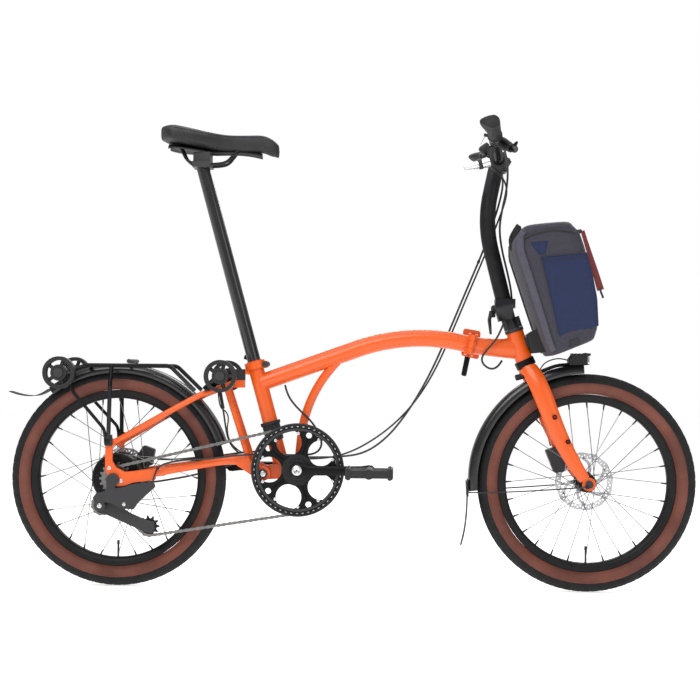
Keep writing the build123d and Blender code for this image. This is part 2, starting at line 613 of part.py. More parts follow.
# The brake levers point forward and down from the bar.
LEVER_TILT = math.radians(33)
LEVER_OUT = Vector(math.cos(LEVER_TILT), 0, -math.sin(LEVER_TILT))
LEVER_UP = Vector(math.sin(LEVER_TILT), 0, math.cos(LEVER_TILT))
LEVER_REACH = 38.0


grips = []
lever_bodies = []
for name, side in (("left", 1), ("right", -1)):
    a = Vector(*bar_point(side * GRIP_START))
    b = Vector(*bar_point(side * (BAR_HALF_WIDTH + 1)))
    grip = tube(a, b, 15.5, BAR_RADIUS)
    grip += tube(a, a + (b - a) * 0.08, 17.5, BAR_RADIUS)
    wing = loft([Plane(origin=a + (b - a) * t + Vector(-9 - 9 * t, 0, 1), x_dir=(1, 0, 0), z_dir=(b - a))
                 * Ellipse(12 + 10 * t, 10) for t in (0.25, 0.6, 0.98)])
    grip += wing - rod(a, b, BAR_RADIUS)
    grip += rod(b, b + (b - a).normalized() * 1.0, 15.5)
    grips.append(grip - rod(a, b, BAR_RADIUS))
    # Brake lever: a clamped body with the reservoir, and a blade on a pin.
    c = Vector(*bar_point(side * 138))
    body = tube(Vector(*bar_point(side * 128)), Vector(*bar_point(side * 148)), 15.5, BAR_RADIUS)
    pin = c + LEVER_OUT * LEVER_REACH + Vector(0, side * 16, 0) - LEVER_UP * 4
    body += rod(c + LEVER_OUT * 12, c + LEVER_OUT * 44 + Vector(0, side * 10, 0), 9)
    body -= rod(pin - LEVER_UP * 16, pin + LEVER_UP * 18, 9.0)
    lever_bodies.append(body - bar_room)
    blade = rod(pin - LEVER_UP * 7, pin + LEVER_UP * 7, 8)
    blade += pipe([pin, pin + LEVER_OUT * 18 + Vector(0, side * 22, 0),
                   pin + LEVER_OUT * 10 + Vector(0, side * 92, 0)], 4.5, 18)
    save(f"{name}_brake_lever", blade)

save("grips", *grips)
save("lever_bodies", *lever_bodies)
pod = Vector(*bar_point(105)) + Vector(0, -2, 0)
display = (rod(pod + Vector(-2, 0, 8), pod + Vector(-16, 0, 40), 14)
           - bar_room)
control_at = Vector(*bar_point(-112))
switch = (tube(Vector(*bar_point(-107)), Vector(*bar_point(-118)), 15, BAR_RADIUS)
          + rod(control_at + Vector(-12, 0, -10), control_at + Vector(-32, 0, -32), 11)) - bar_room
switch += rod(control_at + Vector(-14, 6, -14), control_at + Vector(-15, 14, -46), 6) - bar_room
switch += loft([Plane(origin=control_at + Vector(-11 - 20 * t, 14, -46 - 5 * t), z_dir=(-1, 0, -0.25))
                * Circle(10 - 2 * t) for t in (0.0, 1.0, 3.0)])
save("bar_controls", display, switch)

# ---------------------------------------------------------------- rear frame
def stay(points, radius, bends):
    """The same bent tube on both sides."""
    left = pipe(points, radius, bends)
    return left + mirror_y(left)


def dropout(side):
    """A strap that drops from the seatstay and sweeps forward into the chainstay, with the axle at its heel."""
    outline = [(-19, 344), (-8, 354), (10, 350), (-2, 332), (-2, 300), (7, 285), (28, 275), (56, 277.5), (100, 281),
               (100, 257), (49, 250.5), (27, 243), (10, 241), (-12, 245), (-13, 264), (-19, 284)]
    return plate(outline, *sorted((side * 68, side * 77)), 3)


rear_frame = dropout(1) + dropout(-1)
chainstay = loft_bar([((16, 67.3, 262), (1, 0, 0.12), 13, 8.6), ((70, 67.3, 269), (1, -0.05, 0.15), 11.5, 8.6),
                      ((120, 64, 278), (1, -0.24, 0.15), 10, 9), ((212, 41, 294), (1, -0.3, 0.17), 9.5, 8.5),
                      ((262, 29, 302), (1, -0.12, 0.05), 10.5, 8), ((302, 27, 300), (1, 0, -0.1), 10.5, 8)])
rear_frame += chainstay + mirror_y(chainstay)
SEATSTAY = [(-6, 69.4, 340), (118, 66, 411), (200, 52, 457), (268, 26, 482)]
rear_frame += stay(SEATSTAY, 7, 90)
rear_frame += rod((268, -30, 482), (268, 30, 482), 8)
rear_frame += stay([(257, 25, 479), (316, 34.6, 300)], 7, 0)
cheek = plate([(288, 290), (300, 314), (330, 296), (358, 285), (358, 258), (335, 258), (300, 282)], 31, 39.5, 6)
rear_frame += cheek + mirror_y(cheek)
rear_frame += disc(*PIVOT, 31, 39.5, 17) + disc(*PIVOT, -39.5, -31, 17)
rear_frame += rod((296, -38, 298), (296, 38, 298), 12)
rear_frame += box(268, 299, -14, 14, 474, 492)
rear_frame -= disc(*PIVOT, -60, 60, 7.05)
rear_frame -= disc(*REAR, -90, 90, AXLE_RADIUS)
save("rear_frame", rear_frame)
save("suspension_block", fillet((box(275, 299.6, -15, 15, 492.1, 518)).edges().filter_by(Axis.Z), 5))


def roller(x, z, y0, y1):
    """A small spoked easy wheel."""
    body = ring(x, z, y0, y1, 38, 29) + disc(x, z, y0, y1, 19)
    for i in range(5):
        a = polar((x, z), 17, 72 * i)
        b = polar((x, z), 31, 72 * i)
        body += rod((a[0], (y0 + y1) / 2, a[1]), (b[0], (y0 + y1) / 2, b[1]), 4.5)
    return body - disc(x, z, y0 - 1, y1 + 1, 5.05)


ROLLERS = {"rear": (-128.0, 506.0, 76.0), "front": (249.0, 501.0, 66.0)}
for end, (x, z, inner) in ROLLERS.items():
    pair = [roller(x, z, *sorted((side * inner, side * (inner + 18)))) for side in (1, -1)]
    save(f"{end}_rollers", *pair)

front_x, front_z, front_inner = ROLLERS["front"]
rear_x, rear_z, rear_inner = ROLLERS["rear"]
bracket = disc(front_x, front_z, -front_inner - 20, front_inner + 20, 5.0)
for side in (-1, 1):
    bracket += disc(front_x, front_z, *sorted((side * (front_inner + 18.3), side * (front_inner + 23))), 11)
    bracket += disc(front_x, front_z, *sorted((side * 50, side * (front_inner - 0.3))), 10)
    bracket += plate([(240, 508), (258, 508), (250, 486), (228, 470), (214, 464), (206, 474)],
                     *sorted((side * 53, side * 62)))
bracket -= stay(SEATSTAY, 7.0, 90)

rack = stay([(rear_x + 14, 56, 508), (-72, 56, 524), (128, 56, 524), (188, 60, 466)], 5, 22)
rack += stay([(-10, 56, 522), (-10, 75, 480), (-11, 82.2, 352)], 5, 30)
rack += stay([(-112, 57, 506), (-98, 68, 460), (-22, 82, 376), (-17, 82.2, 352)], 4, 20)
for x in (-68, 30, 118):
    rack += rod((x, -56, 534.5 - 10.5 * (x != 30)), (x, 56, 534.5 - 10.5 * (x != 30)), 5)
rack += disc(rear_x, rear_z, -rear_inner - 20, rear_inner + 20, 5.0)
for side in (-1, 1):
    rack += disc(rear_x, rear_z, *sorted((side * (rear_inner + 18.3), side * (rear_inner + 23))), 11)
    rack += disc(rear_x, rear_z, *sorted((side * 48, side * (rear_inner - 0.3))), 9)
    rack += plate([(-22, 362), (-2, 362), (-2, 336), (-20, 336)], *sorted((side * 77.1, side * 84)), 3)
rack -= disc(*REAR, -32, 32, 271.1)
save("rack_and_roller_bracket", rack, bracket)
rear_guard = guard(REAR, 268.8, 18, 128)
rear_flap = (plate([(-166, 463), (-186, 449.5), (-210, 448), (-265, 458), (-265, 461), (-212, 452),
                    (-187, 454)], -30, 30) - disc(*REAR, -35, 35, 271.1))
save("rear_mudguard", rear_guard, rear_flap)
caliper = plate([(28, 296), (50, 332), (78, 322), (72, 284), (46, 276)], 42, 62, 5)
caliper -= box(20, 90, 47.8, 52.2, 240, 322)
caliper -= disc(*REAR, 30, 70, 40)
save("rear_caliper", *caliper.solids().sort_by(SortBy.VOLUME)[-1:])

# ---------------------------------------------------------------- seat
POST_LOW = seat_line(395)
POST_HIGH = seat_line(1008)
post = rod(POST_LOW, POST_HIGH, POST_RADIUS) - rod(POST_LOW, seat_line(1000), POST_RADIUS - 2)
save("seat_post", post)
head_x = POST_HIGH[0]
clamp = disc(head_x + 2, 1018, -27, 27, 12) + box(head_x - 18, head_x + 22, -27, 27, 1012, 1034)
clamp -= rod(POST_LOW, POST_HIGH, POST_RADIUS)


def rail(side):
    return pipe([(136, side * 17, 1040), (172, side * 22, 1006), (236, side * 22, 1004), (292, side * 12, 1038)],
                3.5, 16)


clamp += box(head_x - 20, head_x + 24, -28, 28, 998, 1012) - rod(POST_LOW, POST_HIGH, POST_RADIUS)
clamp -= rail(1) + rail(-1)
save("saddle_clamp", clamp)
base = plate([(98, 1060), (150, 1040), (180, 1037), (220, 1034), (320, 1034), (356, 1036), (370, 1046),
              (280, 1052), (200, 1056), (120, 1068)], -70, 70)


def saddle_outline(share):
    """The saddle from above, at a share of its width: wide behind, narrow at the nose."""
    left = [(94, 22), (98, 58), (124, 77), (180, 62), (235, 34), (300, 22), (358, 17), (377, 7)]
    left = [(x, y * share) for x, y in left]
    right = [(x, -y) for x, y in reversed(left)]
    return make_face(Spline(*left, *right, periodic=True))


saddle_block = extrude(Pos(0, 0, 1020) * saddle_outline(1), 100)
profile = plate([(85, 1064), (100, 1098), (128, 1094), (170, 1082), (240, 1077), (330, 1074), (366, 1066),
                 (380, 1046), (280, 1052.2), (200, 1056.2), (120, 1068.2), (98, 1060.2)], -90, 90)
save("saddle_cover", saddle_block & profile)
shell = (extrude(Pos(0, 0, 1020) * saddle_outline(0.93), 100) & base) - rail(1) - rail(-1)
save("saddle_base_and_rails", shell, rail(1), rail(-1))

# ---------------------------------------------------------------- bag with the battery
BAG_HALF_WIDTH = 130.0
bag_side = [(1003, 580), (1027, 571), (1117, 592), (1112, 640), (1084, 838), (1068, 858), (1028, 868), (962, 842),
            (948, 826), (963, 760)]
bag = plate(bag_side, -BAG_HALF_WIDTH, BAG_HALF_WIDTH, 7)
bag -= plate([(980, 548), (958, 606), (1004, 640), (1034, 560)], -29, 29)
battery = plate([(1026, 640), (1092, 640), (1074, 800), (1000, 800)], -100, 100, 5)
save("battery", battery)
save("bag", bag - plate([(1025, 639), (1093, 639), (1075, 801), (999, 801)], -101, 101))

# ---------------------------------------------------------------- cables, held at both ends
CABLES = {
    "rear_brake_hose": (2.5, [[
        (901, 131.5, 1034), (911, 108, 1014), (914, 70, 990), (912, 38, 960), (903, 25, 920), (887, 25, 868),
        (866, 26, 808), (843, 27, 752), (820, 28, 697), (796, 29, 638), (773, 30, 583), (750, 31, 530),
        (722, 33, 475), (684, 36, 412), (638, 36, 355), (585, 37, 318), (525, 36, 309), (465, 34, 308),
        (405, 33, 308), (355, 37, 316), (320, 46, 320), (285, 52, 316), (235, 56, 308), (180, 62, 303),
        (125, 64, 296), (82, 56, 298)]]),
    "gear_cable": (2.2, [[
        (868, -84, 1000), (886, -70, 986), (908, -40, 972), (920, -8, 950), (916, 22, 920), (900, 33, 876),
        (880, 34, 822), (857, 34, 765), (833, 35, 708), (809, 36.5, 650), (785, 37, 592), (762, 38, 538),
        (732, 39, 482), (694, 41, 428), (646, 42, 380), (592, 34, 342), (546, 6, 320), (502, -20, 310),
        (455, -32, 307.5), (400, -34, 308), (345, -38, 317), (300, -49, 317), (262, -53, 312), (215, -58, 306),
        (160, -72, 304), (112, -84, 294), (100, -86, 274), (96, -86, 256)]]),
    "front_brake_hose": (2.5, [[
        (901, -131.5, 1034), (912, -104, 1008), (917, -60, 978), (917, -16, 945), (909, 8, 905), (902, 11, 858),
        (909, 13, 808), (921, 15, 762), (932, 21, 716), (936, 36, 685), (938, 45, 650), (943, 49, 610),
        (950, 50, 570), (958, 53, 535), (972, 59, 500), (990, 66, 455), (1008, 69, 412), (1026, 70, 372),
        (1034, 64, 340)]]),
    "motor_cable": (2.5, [
        [(912, -29, 632), (900, -30, 600), (878, -30, 574), (860, -28, 552), (864, -24, 534), (884, -18, 522),
         (902, -12, 530), (910, -6, 544)],
        [(396, -7, 481), (402, -12, 456), (428, -16, 425), (460, -18, 397), (480, -20, 366), (487, -23, 340),
         (474, -26, 321), (446, -26, 316), (404, -26, 316), (368, -25, 319), (348, -8, 321), (338, 16, 321),
         (326, 41, 316), (306, 53, 305), (276, 54, 291), (222, 54, 274), (164, 62, 258), (105, 62, 247),
         (62, 62, 240), (26, 61, 248)]]),
}


def bend_radii(points):
    """Each arc is as large as its two runs allow."""
    radii = []
    for a, b, c in zip(points, points[1:], points[2:]):
        back_run = Vector(*b) - Vector(*a)
        next_run = Vector(*c) - Vector(*b)
        turn = math.radians(back_run.get_angle(next_run))
        radii.append(0.45 * min(back_run.length, next_run.length) / math.tan(turn / 2))
    return radii


for name, (radius, routes) in CABLES.items():
    runs = []
    for points in routes:
        radii = bend_radii(points)
        path = FilletPolyline(*points, radius=radii)
        runs.append(sweep(Plane(origin=path @ 0, z_dir=path % 0) * Circle(radius), path=path))
        print(name, "length", round(path.length), "smallest bend", round(min(radii)))
    save(name, *runs)
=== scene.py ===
"""Folding bicycle: the looks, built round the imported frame, in millimetres turned to metres."""
import math
import random

import bpy
from mathutils import Matrix, Vector, noise


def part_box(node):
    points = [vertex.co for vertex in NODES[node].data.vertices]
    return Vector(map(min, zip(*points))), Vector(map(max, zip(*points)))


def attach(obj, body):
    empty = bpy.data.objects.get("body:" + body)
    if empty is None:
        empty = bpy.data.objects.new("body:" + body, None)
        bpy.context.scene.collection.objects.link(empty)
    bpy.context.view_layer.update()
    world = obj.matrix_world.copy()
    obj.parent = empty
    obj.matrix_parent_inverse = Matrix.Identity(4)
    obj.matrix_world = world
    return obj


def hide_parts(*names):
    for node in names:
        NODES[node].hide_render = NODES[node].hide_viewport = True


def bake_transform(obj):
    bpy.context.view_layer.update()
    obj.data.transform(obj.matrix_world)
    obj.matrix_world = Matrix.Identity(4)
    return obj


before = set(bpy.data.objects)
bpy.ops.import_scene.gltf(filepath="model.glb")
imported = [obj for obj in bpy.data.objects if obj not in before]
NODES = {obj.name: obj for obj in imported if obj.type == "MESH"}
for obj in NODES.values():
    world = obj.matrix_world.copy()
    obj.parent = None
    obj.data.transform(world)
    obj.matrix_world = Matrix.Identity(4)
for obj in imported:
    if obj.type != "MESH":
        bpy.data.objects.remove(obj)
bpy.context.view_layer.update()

# ------------------------------------------------------------------ places taken from the frame
MM = 0.001


def middle(node):
    low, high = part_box(node)
    return (Vector(low) + Vector(high)) / 2


AXLE_X = middle("rear_tyre").x
TYRE_R = (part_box("rear_tyre")[1][2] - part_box("rear_tyre")[0][2]) / 2 / MM
WHEELBASE = (middle("front_tyre").x - AXLE_X) / MM
REAR_HUB = (0.0, TYRE_R)
FRONT_HUB = (WHEELBASE, TYRE_R)
BRACKET = ((middle("chainring_and_guard").x - AXLE_X) / MM, middle("chainring_and_guard").z / MM)
GUIDE = ((middle("guide_pulley").x - AXLE_X) / MM, middle("guide_pulley").z / MM)
TENSION = ((middle("tension_pulley").x - AXLE_X) / MM, middle("tension_pulley").z / MM)
CHAIN_Y = middle("chain").y / MM
BAG_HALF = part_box("bag")[1][1] / MM

# The top of the seat tube and its lean, and the threaded bosses on the fork blades.
SEAT_TOP = (320.8, 537.8)
SEAT_LEAN = math.radians(15.4)
FORK_BOSSES = ((1030.0, 413.0), (1061.0, 356.0))


def at(x, y, z):
    """Millimetres ahead of the rear axle, left of the middle and above the ground, in row metres."""
    return Vector((AXLE_X + x * MM, y * MM, z * MM))


def polar(centre, radius, degrees):
    a = math.radians(degrees)
    return (centre[0] + radius * math.cos(a), centre[1] + radius * math.sin(a))


def mix(a, b, t):
    return a + (b - a) * t


# ------------------------------------------------------------------ camera, light and floor
def stage_scene():
    """A pale floor, soft studio light and a camera on the drive side."""
    scene = bpy.context.scene
    eye = at(669, -3490, 512)
    target = at(549.5, 0, 566)
    ahead = (target - eye).normalized()
    right = ahead.cross(Vector((0, 0, 1))).normalized()
    up = right.cross(ahead)
    roll = math.radians(0.53)
    right, up = right * math.cos(roll) + up * math.sin(roll), up * math.cos(roll) - right * math.sin(roll)
    data = bpy.data.cameras.new("camera")
    data.lens = 75.4
    data.sensor_width = 36
    camera = bpy.data.objects.new("camera", data)
    scene.collection.objects.link(camera)
    camera.matrix_world = Matrix((
        (right.x, up.x, -ahead.x, eye.x),
        (right.y, up.y, -ahead.y, eye.y),
        (right.z, up.z, -ahead.z, eye.z),
        (0, 0, 0, 1)))
    scene.camera = camera

    world = bpy.data.worlds.new("studio")
    world.use_nodes = True
    world.node_tree.nodes["Background"].inputs["Color"].default_value = (1.0, 1.0, 1.0, 1)
    # The backdrop shows white, while the light it gives the bicycle is softer.
    seen = world.node_tree.nodes.new("ShaderNodeLightPath")
    strength = world.node_tree.nodes.new("ShaderNodeMapRange")
    strength.inputs["To Min"].default_value = 0.4
    strength.inputs["To Max"].default_value = 1.0
    world.node_tree.links.new(seen.outputs["Is Camera Ray"], strength.inputs["Value"])
    world.node_tree.links.new(strength.outputs[0], world.node_tree.nodes["Background"].inputs["Strength"])
    scene.world = world
    scene.view_settings.view_transform = "Standard"

    def lamp(name, place, aim, size, power):
        light = bpy.data.lights.new(name, "AREA")
        light.shape = "RECTANGLE"
        light.size = size[0]
        light.size_y = size[1]
        light.energy = power
        item = bpy.data.objects.new(name, light)
        scene.collection.objects.link(item)
        item.location = place
        item.rotation_euler = (Vector(aim) - Vector(place)).to_track_quat("-Z", "Y").to_euler()

    lamp("key", (-0.9, -2.6, 2.6), (0.0, 0, 0.45), (2.2, 1.6), 58)
    lamp("fill", (2.2, -2.4, 1.2), (0.1, 0, 0.5), (1.4, 1.8), 10)
    lamp("rim", (0.6, 2.6, 2.3), (0, 0, 0.6), (2.4, 1.2), 40)
    lamp("top", (0, 0, 3.0), (0, 0, 0), (3.6, 2.6), 42)

    size = 14
    floor = bpy.data.meshes.new("floor")
    floor.from_pydata([(-size, -size, -0.0008), (size, -size, -0.0008), (size, size, -0.0008),
                       (-size, size, -0.0008)], [], [(0, 1, 2, 3)])
    ground = bpy.data.objects.new("floor", floor)
    scene.collection.objects.link(ground)
    pale = bpy.data.materials.new("floor_pale")
    pale.use_nodes = True
    shader = pale.node_tree.nodes["Principled BSDF"]
    shader.inputs["Base Color"].default_value = (0.93, 0.93, 0.93, 1)
    shader.inputs["Roughness"].default_value = 0.75
    shader.inputs["Specular IOR Level"].default_value = 0.2
    shader.inputs["Emission Color"].default_value = (1, 1, 1, 1)
    shader.inputs["Emission Strength"].default_value = 0.62
    floor.materials.append(pale)


stage_scene()


# ------------------------------------------------------------------ materials
class Surface:
    """A procedural material on a Principled shader, with helpers for its noise layers."""

    def __init__(self, name, color, rough, metallic=0.0):
        self.mat = bpy.data.materials.new(name)
        self.mat.use_nodes = True
        self.tree = self.mat.node_tree
        self.shader = self.tree.nodes["Principled BSDF"]
        self.color = color
        self.shader.inputs["Base Color"].default_value = (*color, 1)
        self.shader.inputs["Roughness"].default_value = rough
        self.shader.inputs["Metallic"].default_value = metallic
        self.rough = rough
        self.place = self.tree.nodes.new("ShaderNodeTexCoord").outputs["Object"]
        self.bumps = None

    def node(self, kind, **values):
        item = self.tree.nodes.new(kind)
        for key, value in values.items():
            setattr(item, key, value)
        return item

    def link(self, a, b):
        self.tree.links.new(a, b)

    def noise(self, scale, detail=3.0, stretch=(1, 1, 1), rough=0.5):
        tex = self.node("ShaderNodeTexNoise")
        tex.inputs["Scale"].default_value = scale
        tex.inputs["Detail"].default_value = detail
        tex.inputs["Roughness"].default_value = rough
        shift = self.node("ShaderNodeMapping")
        shift.inputs["Scale"].default_value = stretch
        self.link(self.place, shift.inputs["Vector"])
        self.link(shift.outputs[0], tex.inputs["Vector"])
        return tex.outputs["Fac"]

    def spread(self, value, low, high, start=0.35, end=0.65):
        """Maps a noise value to a range."""
        step = self.node("ShaderNodeMapRange")
        step.inputs["From Min"].default_value = start
        step.inputs["From Max"].default_value = end
        step.inputs["To Min"].default_value = low
        step.inputs["To Max"].default_value = high
        self.link(value, step.inputs["Value"])
        return step.outputs[0]

    def tint(self, factor, dark, light):
        """The base colour runs between two colours."""
        ramp = self.node("ShaderNodeMix", data_type="RGBA")
        ramp.inputs[6].default_value = (*dark, 1)
        ramp.inputs[7].default_value = (*light, 1)
        self.link(factor, ramp.inputs[0])
        self.link(ramp.outputs[2], self.shader.inputs["Base Color"])
        return ramp.outputs[2]

    def mottle(self, scale, amount, stretch=(1, 1, 1)):
        dark = tuple(c * (1 - amount) for c in self.color)
        light = tuple(min(1, c * (1 + amount)) for c in self.color)
        return self.tint(self.spread(self.noise(scale, stretch=stretch), 0, 1), dark, light)

    def gloss(self, scale, amount, stretch=(1, 1, 1)):
        """Roughness varies by amount either way."""
        value = self.noise(scale, stretch=stretch)
        self.link(self.spread(value, self.rough - amount, self.rough + amount),
                  self.shader.inputs["Roughness"])

    def bump(self, height, strength, distance):
        item = self.node("ShaderNodeBump")
        item.inputs["Strength"].default_value = strength
        item.inputs["Distance"].default_value = distance
        self.link(height, item.inputs["Height"])
        if self.bumps:
            self.link(self.bumps, item.inputs["Normal"])
        self.bumps = item.outputs[0]
        self.link(self.bumps, self.shader.inputs["Normal"])

    def edge_wear(self, color, amount=0.5):
        """Edges that stand out are a little paler, as on handled paint."""
        geo = self.node("ShaderNodeNewGeometry")
        mask = self.spread(geo.outputs["Pointiness"], 0, amount, 0.52, 0.6)
        base = self.shader.inputs["Base Color"]
        blend = self.node("ShaderNodeMix", data_type="RGBA")
        if base.links:
            self.link(base.links[0].from_socket, blend.inputs[6])
        else:
            blend.inputs[6].default_value = (*self.color, 1)
        blend.inputs[7].default_value = (*color, 1)
        self.link(mask, blend.inputs[0])
        self.link(blend.outputs[2], base)


def weave(surface, pitch, strength):
    """Over-and-under threads along object X-Y and Z, as a bump and a value."""
    def wave(direction):
        tex = surface.node("ShaderNodeTexWave", wave_type="BANDS", bands_direction=direction)
        tex.inputs["Scale"].default_value = 1.0 / pitch / 3.18
        tex.inputs["Distortion"].default_value = 0.4
        tex.inputs["Detail"].default_value = 1.0
        surface.link(surface.place, tex.inputs["Vector"])
        return tex.outputs["Fac"]
    first = surface.node("ShaderNodeMath", operation="MULTIPLY")
    surface.link(wave("Z"), first.inputs[0])
    second = surface.node("ShaderNodeMath", operation="ADD")
    surface.link(wave("X"), second.inputs[0])
    surface.link(wave("Y"), second.inputs[1])
    surface.link(second.outputs[0], first.inputs[1])
    surface.bump(first.outputs[0], strength, 0.0004)
    return first.outputs[0]


def paint(name, color, rough=0.32, coat=0.35):
    s = Surface(name, color, rough)
    s.mottle(6, 0.03)
    s.gloss(90, 0.04)
    s.shader.inputs["Coat Weight"].default_value = coat
    s.shader.inputs["Coat Roughness"].default_value = 0.12
    s.bump(s.noise(420, 2), 0.05, 0.0002)
    s.bump(s.noise(38, 2), 0.03, 0.0006)
    return s


def satin_metal(name, color, rough=0.38, wear=(0.12, 0.12, 0.125)):
    s = Surface(name, color, rough, 0.1)
    s.shader.inputs["Specular IOR Level"].default_value = 0.16
    s.mottle(30, 0.12)
    s.gloss(60, 0.07)
    s.bump(s.noise(900, 2), 0.08, 0.0001)
    s.edge_wear(wear, 0.35)
    return s


def bare_metal(name, color, rough, streak=(1, 1, 1)):
    s = Surface(name, color, rough, 1.0)
    s.mottle(140, 0.1, streak)
    s.gloss(160, 0.08, streak)
    s.bump(s.noise(700, 3, streak), 0.1, 0.00008)
    return s


def plastic(name, color, rough=0.5, grain=1500):
    s = Surface(name, color, rough)
    s.mottle(18, 0.08)
    s.gloss(40, 0.05)
    s.bump(s.noise(grain, 2), 0.12, 0.00012)
    return s


def rubber(name, color, rough=0.72):
    s = Surface(name, color, rough)
    s.mottle(25, 0.15)
    s.gloss(45, 0.06)
    s.shader.inputs["Specular IOR Level"].default_value = 0.35
    s.bump(s.noise(1100, 3), 0.15, 0.00015)
    return s


def sidewall():
    """Tan casing: fine slanting threads under a skin of rubber, with paler scuffs."""
    s = Surface("sidewall_tan", (0.125, 0.032, 0.018), 0.66)
    s.tint(s.spread(s.noise(14, 4), 0, 1), (0.1, 0.024, 0.013), (0.15, 0.04, 0.023))
    s.bump(s.noise(900, 2, (1, 0.2, 1)), 0.12, 0.0002)
    s.gloss(60, 0.06)
    return s


def cloth(name, dark, light, pitch=0.0011, sheen=0.08):
    """Melange cloth with a plain weave."""
    s = Surface(name, tuple((a + b) / 2 for a, b in zip(dark, light)), 0.82)
    threads = weave(s, pitch, 0.45)
    fine = s.noise(620, 2)
    both = s.node("ShaderNodeMath", operation="MULTIPLY_ADD")
    s.link(threads, both.inputs[0])
    both.inputs[1].default_value = 0.35
    s.link(s.spread(fine, 0, 0.65), both.inputs[2])
    s.tint(both.outputs[0], dark, light)
    s.shader.inputs["Sheen Weight"].default_value = sheen
    s.shader.inputs["Sheen Roughness"].default_value = 0.4
    s.bump(s.noise(26, 3), 0.25, 0.002)
    return s


def webbing(name, color):
    s = Surface(name, color, 0.68)
    weave(s, 0.0016, 0.6)
    s.mottle(400, 0.25)
    s.shader.inputs["Sheen Weight"].default_value = 0.06
    return s


def leatherette():
    s = Surface("saddle_skin", (0.007, 0.007, 0.0075), 0.58)
    cells = s.node("ShaderNodeTexVoronoi", feature="DISTANCE_TO_EDGE")
    cells.inputs["Scale"].default_value = 900
    s.link(s.place, cells.inputs["Vector"])
    s.bump(s.spread(cells.outputs["Distance"], 0, 1, 0, 0.25), 0.25, 0.0002)
    s.bump(s.noise(60, 3), 0.12, 0.0008)
    s.mottle(30, 0.2)
    s.gloss(50, 0.07)
    return s


def lens():
    s = Surface("lamp_glass", (0.8, 0.84, 0.88), 0.08)
    s.shader.inputs["Transmission Weight"].default_value = 0.6
    s.shader.inputs["IOR"].default_value = 1.5
    s.bump(s.noise(300, 1), 0.1, 0.0003)
    return s


M = {
    "frame_paint": paint("orange_paint", (0.73, 0.094, 0.002), 0.36, 0.16).mat,
    "black_metal": satin_metal("black_anodised", (0.0045, 0.0045, 0.005)).mat,
    "post_metal": satin_metal("black_brushed_post", (0.013, 0.0133, 0.0143), 0.38).mat,
    "gloss_black": paint("gloss_black_paint", (0.008, 0.008, 0.009), 0.18, 0.6).mat,
    "tread": rubber("tread_rubber", (0.009, 0.0088, 0.0095), 0.85).mat,
    "sidewall": sidewall().mat,
    "rim": satin_metal("rim_black", (0.012, 0.012, 0.013), 0.42).mat,
    "spoke": bare_metal("spoke_steel", (0.2, 0.2, 0.21), 0.32).mat,
    "disc": bare_metal("disc_steel", (0.52, 0.52, 0.54), 0.3).mat,
    "chain": bare_metal("chain_steel", (0.2, 0.195, 0.19), 0.36).mat,
    "silver": bare_metal("alloy_silver", (0.62, 0.62, 0.63), 0.28).mat,
    "plastic": plastic("black_plastic", (0.0055, 0.0055, 0.006)).mat,
    "guard_plastic": plastic("guard_black", (0.008, 0.008, 0.009), 0.24, 500).mat,
    "grip": rubber("grip_rubber", (0.014, 0.014, 0.015), 0.66).mat,
    "cable": plastic("cable_casing", (0.014, 0.014, 0.015), 0.4, 2500).mat,
    "rubber": rubber("elastomer", (0.02, 0.02, 0.022)).mat,
    "saddle": leatherette().mat,
    "cloth_grey": cloth("cloth_grey_purple", (0.021, 0.0195, 0.03), (0.047, 0.044, 0.063)).mat,
    # A paler copy of the grey bag cloth: painted highlight along the bag's back edge.
    "cloth_painted_highlight": cloth("cloth_grey_painted_highlight", (0.044, 0.042, 0.06), (0.085, 0.082, 0.11)).mat,
    "cloth_navy": cloth("cloth_navy", (0.0045, 0.01, 0.044), (0.01, 0.02, 0.08)).mat,
    "webbing_black": webbing("webbing_black", (0.014, 0.014, 0.016)).mat,
    "webbing_red": webbing("webbing_red", (0.12, 0.008, 0.009)).mat,
    "seam": webbing("seam_tape_dark", (0.02, 0.02, 0.03)).mat,
    "lens": lens().mat,
}


# ------------------------------------------------------------------ mesh making
def piece(name, parts, material, body, instead_of=(), sharp=32.0, bevel=0.0, blend=None):
    """One object from several (points, faces) parts in row metres."""
    points = []
    faces = []
    for part_points, part_faces in parts:
        base = len(points)
        points.extend(part_points)
        faces.extend(tuple(base + i for i in face) for face in part_faces)
    data = bpy.data.meshes.new(name)
    data.from_pydata([tuple(p) for p in points], [], faces)
    data.validate()
    data.polygons.foreach_set("use_smooth", [True] * len(data.polygons))
    data.set_sharp_from_angle(angle=math.radians(sharp))
    data.materials.append(M[material])
    item = bpy.data.objects.new(name, data)
    bpy.context.scene.collection.objects.link(item)
    if bevel:
        soften(item, bevel)
    if blend:
        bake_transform(item)
    else:
        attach(item, body)
    if instead_of:
        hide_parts(*instead_of)
    return item


def soften(item, width, segments=2):
    """Rounded edges."""
    mod = item.modifiers.new("edges", "BEVEL")
    mod.width = width * MM
    mod.segments = segments
    mod.limit_method = "ANGLE"
    mod.angle_limit = math.radians(38)
    mod.harden_normals = False


def loft_rings(rings, closed=True, cap_start=True, cap_end=True):
    """Faces between rings of the same number of points."""
    points = [p for ring in rings for p in ring]
    n = len(rings[0])
    faces = []
    for k in range(len(rings) - 1):
        for i in range(n if closed else n - 1):
            j = (i + 1) % n
            faces.append((k * n + i, k * n + j, (k + 1) * n + j, (k + 1) * n + i))
    if cap_start:
        faces.append(tuple(reversed(range(n))))
    if cap_end:
        faces.append(tuple((len(rings) - 1) * n + i for i in range(n)))
    return points, faces


def frames_along(line):
    """Turning-free axes along a line of points."""
    tangents = []
    for i in range(len(line)):
        a = line[max(0, i - 1)]
        b = line[min(len(line) - 1, i + 1)]
        tangents.append((b - a).normalized())
    side = tangents[0].orthogonal().normalized()
    axes = []
    for t in tangents:
        side = (side - t * side.dot(t)).normalized()
        axes.append((side.copy(), t.cross(side).normalized()))
    return axes


